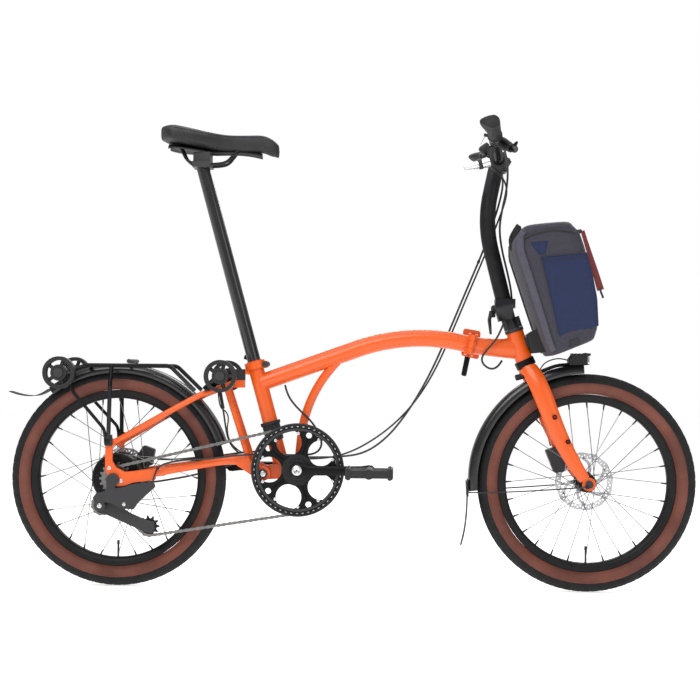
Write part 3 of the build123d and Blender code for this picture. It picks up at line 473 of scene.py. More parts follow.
def tube(line, radius, sides=14, scale=None):
    """A round tube along points; scale(t) changes the radius from end to end."""
    rings = []
    for i, (p, (u, v)) in enumerate(zip(line, frames_along(line))):
        r = radius * MM * (scale(i / (len(line) - 1)) if scale else 1)
        rings.append([p + (u * math.cos(a) + v * math.sin(a)) * r
                      for a in (2 * math.pi * k / sides for k in range(sides))])
    return loft_rings(rings)


def rod(a, b, radius, sides=20, chamfer=0.0):
    """A straight round bar with slightly rounded ends."""
    a = Vector(a)
    b = Vector(b)
    if not chamfer:
        return tube([a, b], radius, sides)
    d = (b - a).normalized() * chamfer * MM
    shrink = 1 - chamfer / radius
    line = [a, a + d, b - d, b]
    return tube(line, radius, sides, lambda t: shrink if t in (0.0, 1.0) else 1.0)


def disc(centre, y0, y1, radius, sides=48, chamfer=0.6):
    return rod(at(centre[0], y0, centre[1]), at(centre[0], y1, centre[1]), radius, sides, chamfer)


def lathe(centre, profile, sides=96, arc=None, closed=True):
    """A body turned about a y axis at centre; the profile is (radius, y) in millimetres."""
    full = arc is None
    start, end = arc or (0.0, 360.0)
    count = sides if full else sides + 1
    rings = []
    for k in range(count):
        a = math.radians(mix(start, end, k / sides))
        ring = [at(centre[0] + r * math.cos(a), y, centre[1] + r * math.sin(a)) for r, y in profile]
        rings.append(ring)
    if full:
        rings.append(rings[0])
        points, faces = loft_rings(rings, closed, False, False)
        n = len(profile)
        keep = len(points) - n
        return points[:keep], [tuple(i % keep for i in f) for f in faces]
    return loft_rings(rings, closed, closed, closed)


def sleeve(a, b, outer, inner, sides=48, chamfer=1.2):
    """A hollow sleeve from a to b, its outer rims slightly rounded."""
    axis = (b - a).normalized()
    u = axis.orthogonal().normalized()
    v = axis.cross(u)
    lip = axis * chamfer * MM
    profile = ((a, inner), (a, outer - chamfer), (a + lip, outer),
               (b - lip, outer), (b, outer - chamfer), (b, inner))
    rings = []
    for k in range(sides):
        turn = 2 * math.pi * k / sides
        away = (u * math.cos(turn) + v * math.sin(turn)) * MM
        rings.append([p + away * r for p, r in profile])
    points, faces = loft_rings(rings + rings[:1], True, False, False)
    keep = len(points) - len(profile)
    return points[:keep], [tuple(i % keep for i in f) for f in faces]


def prism(outline, y0, y1, inset=0.0):
    """A plate from an outline in x-z millimetres, with its rims drawn in a little."""
    cx = sum(p[0] for p in outline) / len(outline)
    cz = sum(p[1] for p in outline) / len(outline)

    def ring(y, draw):
        out = []
        for x, z in outline:
            d = math.hypot(x - cx, z - cz) or 1
            out.append(at(x - (x - cx) / d * draw, y, z - (z - cz) / d * draw))
        return out
    if inset:
        return loft_rings([ring(y0, inset), ring(y0 + inset, 0), ring(y1 - inset, 0), ring(y1, inset)])
    return loft_rings([ring(y0, 0), ring(y1, 0)])


def rounded(corners, radius, steps=4):
    """An outline with its corners turned into arcs."""
    out = []
    n = len(corners)
    for i in range(n):
        p = Vector(corners[i])
        a = Vector(corners[i - 1]) - p
        b = Vector(corners[(i + 1) % n]) - p
        cut = min(radius, a.length * 0.45, b.length * 0.45)
        start = p + a.normalized() * cut
        end = p + b.normalized() * cut
        for k in range(steps + 1):
            t = k / steps
            q = start * (1 - t) ** 2 + p * 2 * t * (1 - t) + end * t * t
            out.append((q.x, q.y))
    return out


def bolt(centre, y, side, radius=4.0, height=4.0):
    """A socket-head screw facing along y, with its hex recess."""
    x, z = centre
    head = [(radius * 0.55, 0.0), (radius * 0.55, height), (radius * 0.85, height), (radius, height * 0.8),
            (radius, 0)]
    outer = lathe(centre, [(r, y + side * h) for r, h in head], 20)
    floor = disc(centre, y + side * 0.2, y + side * height * 0.45, radius * 0.56, 6, 0)
    return [outer, floor]


def smooth_route(route, per_run=8, order=3):
    """Points along the smooth curve that the route's points steer."""
    data = bpy.data.curves.new("route", "CURVE")
    data.dimensions = "3D"
    spline = data.splines.new("NURBS")
    spline.points.add(len(route) - 1)
    for point, p in zip(spline.points, route):
        point.co = (*at(*p), 1)
    spline.order_u = order
    spline.use_endpoint_u = True
    spline.resolution_u = per_run
    holder = bpy.data.objects.new("route", data)
    mesh = bpy.data.meshes.new_from_object(holder)
    line = [v.co.copy() for v in mesh.vertices]
    bpy.data.objects.remove(holder)
    bpy.data.curves.remove(data)
    bpy.data.meshes.remove(mesh)
    return line


# ------------------------------------------------------------------ cables
REAR_HOSE = [
    (901, 131.5, 1034), (911, 108, 1014), (914, 70, 990), (912, 38, 960), (903, 25, 920), (887, 25, 868),
    (866, 26, 808), (843, 27, 752), (820, 28, 697), (796, 29, 638), (773, 30, 583), (750, 31, 530),
    (722, 33, 475), (684, 36, 412), (638, 36, 355), (585, 37, 318), (525, 36, 309), (465, 34, 308),
    (405, 33, 308), (355, 37, 316), (320, 46, 320), (285, 52, 316), (235, 56, 308), (180, 62, 303),
    (125, 64, 296), (82, 56, 298)]
GEAR_CABLE = [
    (868, -84, 1000), (886, -70, 986), (908, -40, 972), (920, -8, 950), (916, 22, 920), (900, 33, 876),
    (880, 34, 822), (857, 34, 765), (833, 35, 708), (809, 36.5, 650), (785, 37, 592), (762, 38, 538),
    (732, 39, 482), (694, 41, 428), (646, 42, 380), (592, 34, 342), (546, 6, 320), (502, -20, 310),
    (455, -32, 307.5), (400, -34, 308), (345, -38, 317), (300, -49, 317), (262, -53, 312), (215, -58, 306),
    (160, -72, 304), (112, -84, 294), (100, -86, 274), (96, -86, 256)]
FRONT_HOSE = [
    (901, -131.5, 1034), (912, -104, 1008), (917, -60, 978), (917, -16, 945), (909, 8, 905), (902, 11, 858),
    (909, 13, 808), (921, 15, 762), (932, 21, 716), (936, 36, 685), (938, 45, 650), (943, 49, 610),
    (950, 50, 570), (958, 53, 535), (972, 59, 500), (990, 66, 455), (1008, 69, 412), (1026, 70, 372),
    (1034, 64, 340)]
MOTOR_CABLE_FRONT = [
    (912, -29, 632), (900, -30, 600), (878, -30, 574), (860, -28, 552), (864, -24, 534), (884, -18, 522),
    (902, -12, 530), (910, -6, 544)]
MOTOR_CABLE_REAR = [
    (396, -7, 481), (402, -12, 456), (428, -16, 425), (460, -18, 397), (480, -20, 366), (487, -23, 340),
    (474, -26, 321), (446, -26, 316), (404, -26, 316), (368, -25, 319), (348, -8, 321), (338, 16, 321),
    (326, 41, 316), (306, 53, 305), (276, 54, 291), (222, 54, 274), (164, 62, 258), (105, 62, 247),
    (62, 62, 240), (26, 61, 248)]


def nearest(line, p):
    target = at(*p)
    return min(range(len(line)), key=lambda i: (line[i] - target).length)


def held_cable(name, route, radius, spans, node):
    """A cable cut where the machine's joints need it. Each span is (end point, body) or
    (end point, body, next body, start of bend, end of bend); neighbours meet on the same ring."""
    line = smooth_route(route)
    first = 0
    for k, span in enumerate(spans):
        last = len(line) - 1 if span[0] is None else nearest(line, span[0])
        part = line[first:last + 1]
        blend = None
        if len(span) > 2:
            blend = (span[1], span[2], at(*span[3]), at(*span[4]))
        piece(f"{name}_{k + 1}", [tube(part, radius, 12)], "cable", span[1],
              (node,) if k == 0 and node else (), blend=blend)
        first = last


def make_cables():
    held_cable("rear_brake_hose", REAR_HOSE, 2.5, [
        ((887, 25, 868), "handlepost"),
        ((843, 27, 752), "handlepost", "fork", (884, 25, 855), (848, 27, 765)),
        ((796, 29, 638), "fork", "front_frame", (840, 27, 745), (803, 29, 655)),
        ((585, 37, 318), "front_frame", "main_frame", (785, 30, 610), (620, 36, 340)),
        ((285, 52, 316), "main_frame", "rear_frame", (470, 34, 308), (300, 50, 318)),
        (None, "rear_frame")], "rear_brake_hose")
    held_cable("gear_cable", GEAR_CABLE, 2.2, [
        ((900, 33, 876), "handlepost"),
        ((857, 34, 765), "handlepost", "fork", (897, 33, 865), (862, 34, 778)),
        ((809, 36.5, 650), "fork", "front_frame", (854, 34, 758), (816, 36, 668)),
        ((592, 34, 342), "front_frame", "main_frame", (800, 37, 630), (630, 40, 368)),
        ((300, -49, 317), "main_frame", "rear_frame", (455, -32, 308), (312, -46, 317)),
        (None, "rear_frame")], "gear_cable")
    held_cable("front_brake_hose", FRONT_HOSE, 2.5, [
        ((909, 13, 808), "handlepost"),
        ((938, 45, 650), "handlepost", "fork", (911, 14, 795), (937, 42, 668)),
        (None, "fork")], "front_brake_hose")
    held_cable("motor_cable_front", MOTOR_CABLE_FRONT, 2.5, [(None, "front_frame")], "motor_cable")
    held_cable("motor_cable_rear", MOTOR_CABLE_REAR, 2.5, [
        ((404, -26, 316), "main_frame"),
        ((276, 54, 291), "main_frame", "rear_frame", (395, -26, 317), (300, 54, 301)),
        (None, "rear_frame")], None)

    def clip(name, p, q, body, width=7.0, radius=3.6):
        """A short clip round a cable, halfway between two of its route points."""
        a = at(*p)
        b = at(*q)
        centre = (a + b) / 2
        along = (b - a).normalized() * width * MM / 2
        piece(name, [rod(centre - along, centre + along, radius, 14, 0.8)], "plastic", body)
    clip("cable_clip_1", (866, 26, 808), (843, 27, 752), "fork")
    clip("cable_clip_2", (112, -84, 294), (100, -86, 274), "rear_frame")


make_cables()


# ------------------------------------------------------------------ wheels
def tyre(name, hub, body, node):
    """Tan sidewalls and a black tread with cut blocks."""
    centre_r = 231.0
    reach = TYRE_R - centre_r
    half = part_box(node)[1][1] / MM

    def section(angle, lift=0.0):
        a = math.radians(angle)
        return centre_r + (reach + lift) * math.sin(a), (half + lift) * math.cos(a)

    # The tread spans the crown; blocks stand above the grooves.
    across = 28
    around = 432
    points = []
    for k in range(around):
        turn = 2 * math.pi * k / around
        for i in range(across + 1):
            angle = mix(9, 171, i / across)
            cell = (k % 12) / 12
            lane = i / across
            groove = 0.0
            if abs(lane - 0.36) < 0.03 or abs(lane - 0.64) < 0.03:
                groove = 1.0
            if lane < 0.33 or lane > 0.67:
                skew = (cell + (0.5 - abs(lane - 0.5)) * 0.8) % 1.0
                groove = max(groove, 1.0 if skew < 0.17 else 0.0)
            elif (cell * 2 + lane) % 1.0 < 0.14:
                groove = max(groove, 0.6)
            if i in (0, across):
                groove = 1.2
            r, y = section(angle, -1.1 * groove)
            points.append(at(hub[0] + r * math.cos(turn), y, hub[1] + r * math.sin(turn)))
    inner = []
    for k in range(around):
        turn = 2 * math.pi * k / around
        for i in range(across + 1):
            r, y = section(mix(9, 171, i / across), -3.2)
            inner.append(at(hub[0] + r * math.cos(turn), y, hub[1] + r * math.sin(turn)))
    n = across + 1
    total = around * n
    faces = []
    for k in range(around):
        q = (k + 1) % around
        for i in range(across):
            faces.append((k * n + i, k * n + i + 1, q * n + i + 1, q * n + i))
            faces.append((total + k * n + i, total + q * n + i, total + q * n + i + 1, total + k * n + i + 1))
        faces.append((k * n, q * n, total + q * n, total + k * n))
        faces.append((k * n + across, total + k * n + across, total + q * n + across, q * n + across))
    piece(name + "_tread", [(points + inner, faces)], "tread", body, (node,), sharp=24)

    walls = []
    for side in (1, -1):
        outer = []
        for i in range(11):
            r, y = section(mix(-56, 10.5, i / 10), -0.35 if i < 10 else -1.2)
            outer.append((r, side * y))
        ridge = [(r, y) for r, y in outer]
        inside = []
        for i in range(6):
            r, y = section(mix(10.5, -56, i / 5), -3.4)
            inside.append((r, side * y))
        walls.append(lathe(hub, ridge + inside, 200))
        # A moulded line near the rim and one below the tread.
        for angle, thick in ((-40, 0.55), (2, 0.45)):
            r, y = section(angle, 0.0)
            ring = [(r + thick * math.cos(math.radians(a)),
                     side * (y - 0.35) + thick * math.sin(math.radians(a)))
                    for a in range(0, 360, 60)]
            walls.append(lathe(hub, ring, 160))
    piece(name + "_sidewalls", walls, "sidewall", body)


def rim(name, hub, body, node):
    profile = [(189, 5), (190.5, 9), (196, 13), (203, 14), (208.6, 14), (209, 13.2), (209, 11.6),
               (205.5, 11.2),
               (200.5, 10.6), (199, 6), (199, -6), (200.5, -10.6), (205.5, -11.2), (209, -11.6), (209, -13.2),
               (208.6, -14), (203, -14), (196, -13), (190.5, -9), (189, -5)]
    parts = [lathe(hub, profile, 180)]
    piece(name, parts, "rim", body, (node,), sharp=40)
    valve = polar(hub, 196, -90)
    low = polar(hub, 158, -90)
    stem = [rod(at(valve[0], 0, valve[1]), at(low[0], 0, low[1]), 2.6, 12, 0.5)]
    cap = polar(hub, 150, -90)
    stem.append(rod(at(low[0], 0, low[1] - 2), at(cap[0], 0, cap[1]), 3.4, 12, 0.8))
    piece(name + "_valve", stem, "plastic", body)


def spokes(name, hub, body, node, flange_r, flange_y):
    """Crossed spokes with an elbow at the hub and a black nipple at the rim."""
    wires = []
    nipples = []
    for i in range(28):
        side = 1 if i % 2 == 0 else -1
        lean = 62 if (i // 2) % 2 == 0 else -62
        angle = 360 * i / 28
        a = polar(hub, flange_r, angle + lean)
        b = polar(hub, 186, angle)
        start = at(a[0], side * flange_y, a[1])
        end = at(b[0], side * 3, b[1])
        wires.append(tube([start, start.lerp(end, 0.5), end], 0.95, 8))
        c = polar(hub, 189.6, angle)
        top = at(c[0], side * 2.8, c[1])
        nipples.append(tube([end.lerp(start, 0.055), end, top], 2.2, 8, lambda t: 0.7 if t == 0 else 1.0))
        wires.append(rod(start + Vector((0, -side * 2.5 * MM, 0)), start + Vector((0, side * 1.2 * MM, 0)),
                         1.5, 8))
    piece(name, wires, "spoke", body, (node,))
    piece(name + "_nipples", nipples, "black_metal", body)


def brake_disc(name, hub, y, radius, body):
    """A cut disc: outer brake track with holes, six swept arms and an inner carrier."""
    parts = []
    count = 120
    for k in range(count):
        a0 = 360 * k / count
        a1 = 360 * (k + 1) / count
        wave = 1.1 * math.sin(math.radians(a0 * 12))
        wave1 = 1.1 * math.sin(math.radians(a1 * 12))
        if k % 4 == 1:
            bands = ((radius - 15, radius - 9.5), (radius - 5.5, radius))
        elif k % 4 == 3:
            bands = ((radius - 15, radius - 12.5), (radius - 8.5, radius))
        else:
            bands = ((radius - 15, radius),)
        for low, high in bands:
            ends = (1.0 if high == radius else 0.0)
            out0 = polar(hub, high - 1.1 * ends + wave * ends, a0)
            out1 = polar(hub, high - 1.1 * ends + wave1 * ends, a1)
            in0 = polar(hub, low, a0)
            in1 = polar(hub, low, a1)
            parts.append(prism([in0, out0, out1, in1], y - 0.9, y + 0.9))
    for k in range(6):
        line = []
        for t in range(9):
            s = t / 8
            r = mix(20, radius - 14, s)
            p = polar(hub, r, 60 * k + 34 * s * s)
            line.append(p)
        left = []
        right = []
        for j, p in enumerate(line):
            q = line[min(j + 1, 8)]
            o = line[max(j - 1, 0)]
            d = Vector((q[0] - o[0], q[1] - o[1])).normalized()
            w = mix(4.2, 3.0, j / 8)
            left.append((p[0] - d.y * w, p[1] + d.x * w))
            right.append((p[0] + d.y * w, p[1] - d.x * w))
        rings = [[at(l[0], y - 0.9, l[1]), at(l[0], y + 0.9, l[1]), at(r[0], y + 0.9, r[1]),
                  at(r[0], y - 0.9, r[1])]
                 for l, r in zip(left, right)]
        parts.append(loft_rings(rings))
    piece(name, parts, "disc", body, sharp=30)
    carrier = [lathe(hub, [(12, y - 1.4), (25, y - 1.4), (25, y + 1.6), (12, y + 1.6)], 48)]
    for k in range(6):
        carrier += bolt(polar(hub, 21, 60 * k), y + 1.6, 1, 2.6, 1.8)
    piece(name + "_carrier", carrier, "black_metal", body)


def front_hub():
    profile = [(6.2, -38), (13, -38), (14, -34), (14, -28), (20.4, -26.6), (21.4, -25.6), (21.4, -22.6),
               (20.4, -21.8),
               (12.5, -19), (11.5, -8), (11.5, 8), (12.5, 19), (20.4, 21.8), (21.4, 22.6), (21.4, 25.6),
               (20.4, 26.6),
               (15, 30), (15, 45), (14, 46), (6.2, 46)]
    piece("front_hub_shell", [lathe(FRONT_HUB, profile, 64)], "black_metal", "front_wheel",
          ("front_hub_and_disc",))
    brake_disc("front_brake_disc", FRONT_HUB, 40, 70, "front_wheel")


def rear_hub():
    """A hub motor: a wide drum with cooling ribs and screws round its side covers."""
    profile = [(6.2, -36), (36, -36), (50, -35), (54, -33.4), (59, -32.6), (59, -27.6), (56.6, -26),
               (56.6, -20),
               (55.6, -19.4), (55.6, -18.6), (56.6, -18), (56.6, 18), (55.6, 18.6), (55.6, 19.4), (56.6, 20),
               (56.6, 26), (59, 27.6), (59, 32.6), (54, 33.6), (50, 37), (36, 39.8), (18, 40.2), (18, 47.6),
               (6.2, 47.6)]
    parts = [lathe(REAR_HUB, profile, 96)]
    for k in range(9):
        parts += bolt(polar(REAR_HUB, 47, 40 * k + 12), -35.0, -1, 2.2, 1.4)
        parts += bolt(polar(REAR_HUB, 46, 40 * k + 12), 37.2, 1, 2.2, 1.4)
    piece("rear_hub_motor", parts, "black_metal", "rear_wheel", ("rear_hub_and_disc",))
    brake_disc("rear_brake_disc", REAR_HUB, 50, 70, "rear_wheel")


tyre("front_tyre_rubber", FRONT_HUB, "front_wheel", "front_tyre")
tyre("rear_tyre_rubber", REAR_HUB, "rear_wheel", "rear_tyre")
rim("front_rim_shell", FRONT_HUB, "front_wheel", "front_rim")
rim("rear_rim_shell", REAR_HUB, "rear_wheel", "rear_rim")
spokes("front_wheel_spokes", FRONT_HUB, "front_wheel", "front_spokes", 19.4, 24)
spokes("rear_wheel_spokes", REAR_HUB, "rear_wheel", "rear_spokes", 57.2, 30)
front_hub()
rear_hub()


# ------------------------------------------------------------------ chain
PITCH = 12.7


def sprocket_radius(teeth):
    return PITCH / 2 / math.sin(math.pi / teeth)


def tangent_run(c1, r1, c2, r2, side1, side2):
    """Where a straight run touches two sprockets."""
    dx = c2[0] - c1[0]
    dz = c2[1] - c1[1]
    lean = math.asin((side2 * r2 - side1 * r1) / math.hypot(dx, dz))
    normal = math.atan2(dz, dx) + lean + math.pi / 2
    a = (c1[0] + side1 * r1 * math.cos(normal), c1[1] + side1 * r1 * math.sin(normal))
    b = (c2[0] + side2 * r2 * math.cos(normal), c2[1] + side2 * r2 * math.sin(normal))
    return a, b


def chain_line():
    """The closed line of the chain as short steps, each with the stretch that it belongs to."""
    ring = sprocket_radius(50)
    cog = sprocket_radius(13)
    pulley = sprocket_radius(11)
    upper = tangent_run(REAR_HUB, cog, BRACKET, ring, 1, 1)
    lower = tangent_run(BRACKET, ring, TENSION, pulley, 1, 1)
    between = tangent_run(TENSION, pulley, GUIDE, pulley, 1, -1)
    back = tangent_run(GUIDE, pulley, REAR_HUB, cog, -1, 1)
    steps = []

    def straight(a, b, word):
        n = max(2, int(math.hypot(b[0] - a[0], b[1] - a[1])))
        for k in range(n):
            steps.append((mix(a[0], b[0], k / n), mix(a[1], b[1], k / n), word))

    def wrap(centre, radius, a, b, turning, word):
        start = math.atan2(a[1] - centre[1], a[0] - centre[0])
        end = math.atan2(b[1] - centre[1], b[0] - centre[0])
        angle = ((end - start) * turning) % (2 * math.pi)
        n = max(2, int(angle * radius))
        for k in range(n):
            t = start + turning * angle * k / n
            steps.append((centre[0] + radius * math.cos(t), centre[1] + radius * math.sin(t), word))
    straight(*upper, "upper")
    wrap(BRACKET, ring, upper[1], lower[0], -1, "ring")
    straight(*lower, "lower")
    wrap(TENSION, pulley, lower[1], between[0], -1, "cage")
    straight(*between, "cage")
    wrap(GUIDE, pulley, between[1], back[0], 1, "cage")
    straight(*back, "cog")
    wrap(REAR_HUB, cog, back[1], upper[0], -1, "cog")
    return steps


def make_chain():
    steps = chain_line()
    loop = [Vector((x, z)) for x, z, _ in steps]
    lengths = [0.0]
    for a, b in zip(loop, loop[1:] + loop[:1]):
        lengths.append(lengths[-1] + (b - a).length)
    count = 2 * round(lengths[-1] / PITCH / 2)
    pitch = lengths[-1] / count
    pins = []
    k = 0
    for i in range(count):
        s = i * pitch
        while lengths[k + 1] < s:
            k += 1
        t = (s - lengths[k]) / (lengths[k + 1] - lengths[k])
        nxt = loop[(k + 1) % len(loop)]
        pins.append((loop[k].lerp(nxt, t), steps[k][2]))
    groups = {"front": [], "lower": [], "cage": [], "cog": []}
    split = TENSION[0] + 90
    for i, (p, word) in enumerate(pins):
        q = pins[(i + 1) % count][0]
        d = (q - p).normalized()
        n = Vector((-d.y, d.x))
        outer = i % 2 == 0
        half = 3.9 if outer else 3.6
        outline = []
        for a in range(0, 181, 30):
            c = math.cos(math.radians(a + 90))
            s = math.sin(math.radians(a + 90))
            outline.append(p + d * (half * c) + n * (half * s))
        middle_low = (p + q) / 2 - n * half * 0.72
        outline.append(middle_low)
        for a in range(0, 181, 30):
            c = math.cos(math.radians(a - 90))
            s = math.sin(math.radians(a - 90))
            outline.append(q + d * (half * c) + n * (half * s))
        outline.append((p + q) / 2 + n * half * 0.72)
        flat = [(v.x, v.y) for v in outline]
        y = 3.0 if outer else 1.9
        parts = [prism(flat, CHAIN_Y + y - 0.5, CHAIN_Y + y + 0.5), prism(flat, CHAIN_Y - y - 0.5,
                                                                          CHAIN_Y - y + 0.5)]
        parts.append(rod(at(p.x, CHAIN_Y - 1.3, p.y), at(p.x, CHAIN_Y + 1.3, p.y), 3.4, 10))
        parts.append(rod(at(p.x, CHAIN_Y - 3.8, p.y), at(p.x, CHAIN_Y + 3.8, p.y), 1.7, 8))
        if word == "lower" and p.x < split:
            key = "lower"
        elif word in ("upper", "ring", "lower"):
            key = "front"
        else:
            key = word
        groups[key].extend(parts)
    start = (280, CHAIN_Y, 255)
    piece("chain_front", groups["front"], "chain", None, ("chain",),
          blend=("rear_frame", "main_frame", at(*start), at(start[0] + 110, CHAIN_Y, start[2] + 12)))
    piece("chain_lower", groups["lower"], "chain", None,
          blend=("rear_frame", "tensioner_cage", at(split, CHAIN_Y, TENSION[1]),
                 at(TENSION[0], CHAIN_Y, TENSION[1])))
    piece("chain_on_pulleys", groups["cage"], "chain", "tensioner_cage")
    piece("chain_on_cog", groups["cog"], "chain", "rear_frame")


make_chain()


# ------------------------------------------------------------------ crankset and pedals
def spider_and_crank():
    """Right crank with its spider: five round windows, and a small one where each arm meets the ring."""
    y0 = CHAIN_Y - 4.4
    y1 = CHAIN_Y - 1.2
    window_at = 67.0
    window = 30.0
    small_at = 85.0
    small = 7.0
    parts = [disc(BRACKET, -66, CHAIN_Y - 1.1, 24, 48, 2), disc(BRACKET, y0 - 0.5, y1, 38, 60, 0.8)]

    def half_angle(r):
        """How far an arm reaches to either side at radius r, up to the windows beside it."""
        c = (r * r + window_at**2 - window**2) / (2 * window_at * r)
        return 36 - math.degrees(math.acos(min(1.0, c)))

    def slice_of(mid, r, a, b):
        rim = math.degrees(1.0 / r)
        ring = []
        for angle, y in ((a, y1), (a, y0 + 0.6), (a + rim, y0 - 0.5), (b - rim, y0 - 0.5), (b, y0 + 0.6),
                         (b, y1)):
            x, z = polar(BRACKET, r, mid + angle)
            ring.append(at(x, y, z))
        return ring
    for i in range(5):
        for lean in (-1, 1):
            branch = []
            for k in range(23):
                r = mix(37.5, 93, k / 22)
                inner = math.degrees(math.sqrt(max(0.0, small**2 - (r - small_at)**2)) / r)
                a, b = sorted((lean * inner, lean * half_angle(r)))
                branch.append(slice_of(72 * i, r, a, b))
            parts.append(loft_rings(branch))
    crank_bar(parts, 1, -80, -65)
    piece("right_crank_arm", parts, "black_metal", "crank", ("right_crank",), sharp=40)


def crank_bar(parts, ahead, y0, y1):
    """A tapered, hollow-backed crank arm; ahead is 1 forward and -1 backward."""
    length = 170.0
    face = y0 if y0 < 0 else y1
    back = y1 if y0 < 0 else y0
    rings = []
    for k in range(25):
        t = k / 24
        x = mix(-17, length + 14, t)
        waist = 12.4 - 1.2 * math.sin(math.pi * min(1, max(0, t)))
        if x < 0:
            w = math.sqrt(max(0.5, 18.5**2 - x * x))
        elif x > length:
            w = math.sqrt(max(0.5, 14.6**2 - (x - length)**2))
        else:
            near = max(0, 1 - x / 26) * 6
            far = max(0, 1 - (length - x) / 20) * 2.6
            w = waist + near + far
        px = BRACKET[0] + ahead * x
        pz = BRACKET[1]
        lift = 1.6
        inward = 1 if face < back else -1
        rings.append([at(px, back, pz - w * 0.86), at(px, face + inward * 4, pz - w),
                      at(px, face + inward * lift, pz - w * 0.86), at(px, face, pz - w * 0.55),
                      at(px, face, pz + w * 0.55), at(px, face + inward * lift, pz + w * 0.86),
                      at(px, face + inward * 4, pz + w), at(px, back, pz + w * 0.86)])
    parts.append(loft_rings(rings))


def left_crank():
    parts = []
    crank_bar(parts, -1, 65, 80)
    parts.append(disc(BRACKET, -64, 84, 11.9, 24, 0.8))
    piece("left_crank_arm", parts, "black_metal", "crank", ("left_crank_and_spindle",),
          sharp=40)
    caps = []
    for side in (-1, 1):
        caps.append(lathe(BRACKET, [(2, side * 80.4), (2, side * 83.4), (8, side * 84.8), (11.4, side * 83.6),
                                    (12, side * 80.4)], 32))
    piece("crank_bolts", caps, "silver", "crank")


def pedal(name, centre, side, body):
    """Platform pedal: a bevelled cage with traction pins round a barrel."""
    x, z = centre
    inner = 92.0
    outer = 190.0
    parts = []
    for edge in (-1, 1):
        outline = rounded([(x + edge * 42, z - 13), (x + edge * 53.8, z - 11.5), (x + edge * 53.8, z + 11.5),
                           (x + edge * 42, z + 13)], 3)
        parts.append(prism(outline, *sorted((side * inner, side * outer))))
    for k in range(4):
        y = side * mix(inner + 6, outer - 6, k / 3)
        outline = rounded([(x - 50, z - 9), (x + 50, z - 9), (x + 50, z + 9), (x - 50, z + 9)], 3)
        parts.append(prism(outline, y - 4.6, y + 4.6, 0.8))
    parts.append(rod(at(x, side * (inner + 0.5), z), at(x, side * (outer - 0.5), z), 11.8, 28, 1.5))
    for k in range(5):
        for edge in (-47.5, 47.5):
            for face in (-1, 1):
                y = side * mix(inner + 8, outer - 8, k / 4)
                parts.append(rod(at(x + edge, y, z + face * 10), at(x + edge, y, z + face * 14.2), 1.8, 10,
                                 0.3))
    piece(name + "_body", parts, "plastic", body, (name,), sharp=36)
    ribs = []
    for k in range(9):
        y = side * mix(inner + 10, outer - 10, k / 8)
        for edge in (-1, 1):
            ribs.append(prism(rounded([(x + edge * 53, z - 9.5), (x + edge * 54.2, z - 9.5),
                                       (x + edge * 54.2, z + 9.5),
                                       (x + edge * 53, z + 9.5)], 0.4), y - 2.5, y + 2.5))
    piece(name + "_ribs", ribs, "rubber", body)


def ring_details():
    """The bolts of the chainring and the short marks cut in the guard."""
    bolts = []
    for i in range(5):
        for lean in (-17, 17):
            bolts += bolt(polar(BRACKET, 86, 72 * i + lean), CHAIN_Y - 8, -1, 3.6, 1.6)
    piece("ring_bolts", bolts, "silver", "crank")
    guard = [lathe(BRACKET, [(96, CHAIN_Y - 7.4), (99, CHAIN_Y - 8.8), (106.5, CHAIN_Y - 8.8),
                             (109.4, CHAIN_Y - 6.8),
                             (109.4, CHAIN_Y - 4.6), (91.5, CHAIN_Y - 4.6), (91.5, CHAIN_Y - 7.4)], 180)]
    piece("guard_ring_face", guard, "black_metal", "crank")
    marks = []
    for i in range(48):
        a = math.radians(7.5 * i)
        middle_point = Vector(polar(BRACKET, 101.5, 7.5 * i))
        along = Vector((-math.sin(a), math.cos(a))) * 2.2
        p = middle_point - along
        q = middle_point + along
        marks.append(tube([at(p.x, CHAIN_Y - 8.75, p.y), at(q.x, CHAIN_Y - 8.75, q.y)], 1.0, 10))
    piece("guard_ring_marks", marks, "silver", "crank")


spider_and_crank()
left_crank()
ring_details()
pedal("right_pedal", (BRACKET[0] + 170, BRACKET[1]), -1, "right_pedal")
pedal("left_pedal", (BRACKET[0] - 170, BRACKET[1]), 1, "left_pedal")


# ------------------------------------------------------------------ mudguards, flaps and lamp
def guard(name, hub, radius, start, end, body, node):
    """An arched strip with rolled lips and a shallow rib down the middle."""
    half = 31.0
    outline = []
    count = 16
    for i in range(count + 1):
        a = mix(-90, 90, i / count)
        y = half * math.sin(math.radians(a))
        drop = 20.0 * (1 - math.cos(math.radians(a))) ** 2.2
        rib = 0.9 if abs(i - count / 2) <= 1 else 0.0
        outline.append((radius + 2.2 + 0.6 - drop - rib * 0.6, y))
    lips = [(r - 1.7, y * 0.955) for r, y in reversed(outline)]
    piece(name, [lathe(hub, outline + lips, 72, (start, end))], "guard_plastic", body,
          (node,),
          sharp=50)


def mud_flap(name, outline, half, body):
    """A thin tapering tongue of rubber."""
    line = smooth_route([(x, 0, z) for x, z in outline], 6)
    rings = []
    for i, p in enumerate(line):
        t = i / (len(line) - 1)
        a = line[max(0, i - 1)]
        b = line[min(len(line) - 1, i + 1)]
        d = (b - a).normalized()
        n = Vector((-d.z, 0, d.x)) * 0.8 * MM
        w = half * MM * (1 - 0.35 * t**4)
        rings.append([p + n + Vector((0, w, 0)), p + n, p + n - Vector((0, w, 0)), p - n - Vector((0, w, 0)),
                      p - n,
                      p - n + Vector((0, w, 0))])
    piece(name, [loft_rings(rings)], "rubber", body)


guard("front_guard", FRONT_HUB, 276.5, 92, 184, "fork", "front_mudguard")
guard("rear_guard", REAR_HUB, 268.8, 18, 128, "rear_frame", "rear_mudguard")
mud_flap("front_flap", [(WHEELBASE - 280, 262), (WHEELBASE - 280, 225), (WHEELBASE - 282, 175),
                        (WHEELBASE - 288, 130),
                        (WHEELBASE - 295, 106)], 28, "fork")
mud_flap("rear_flap", [(-168, 466), (-188, 452), (-214, 449), (-244, 453), (-264, 460)], 27, "rear_frame")


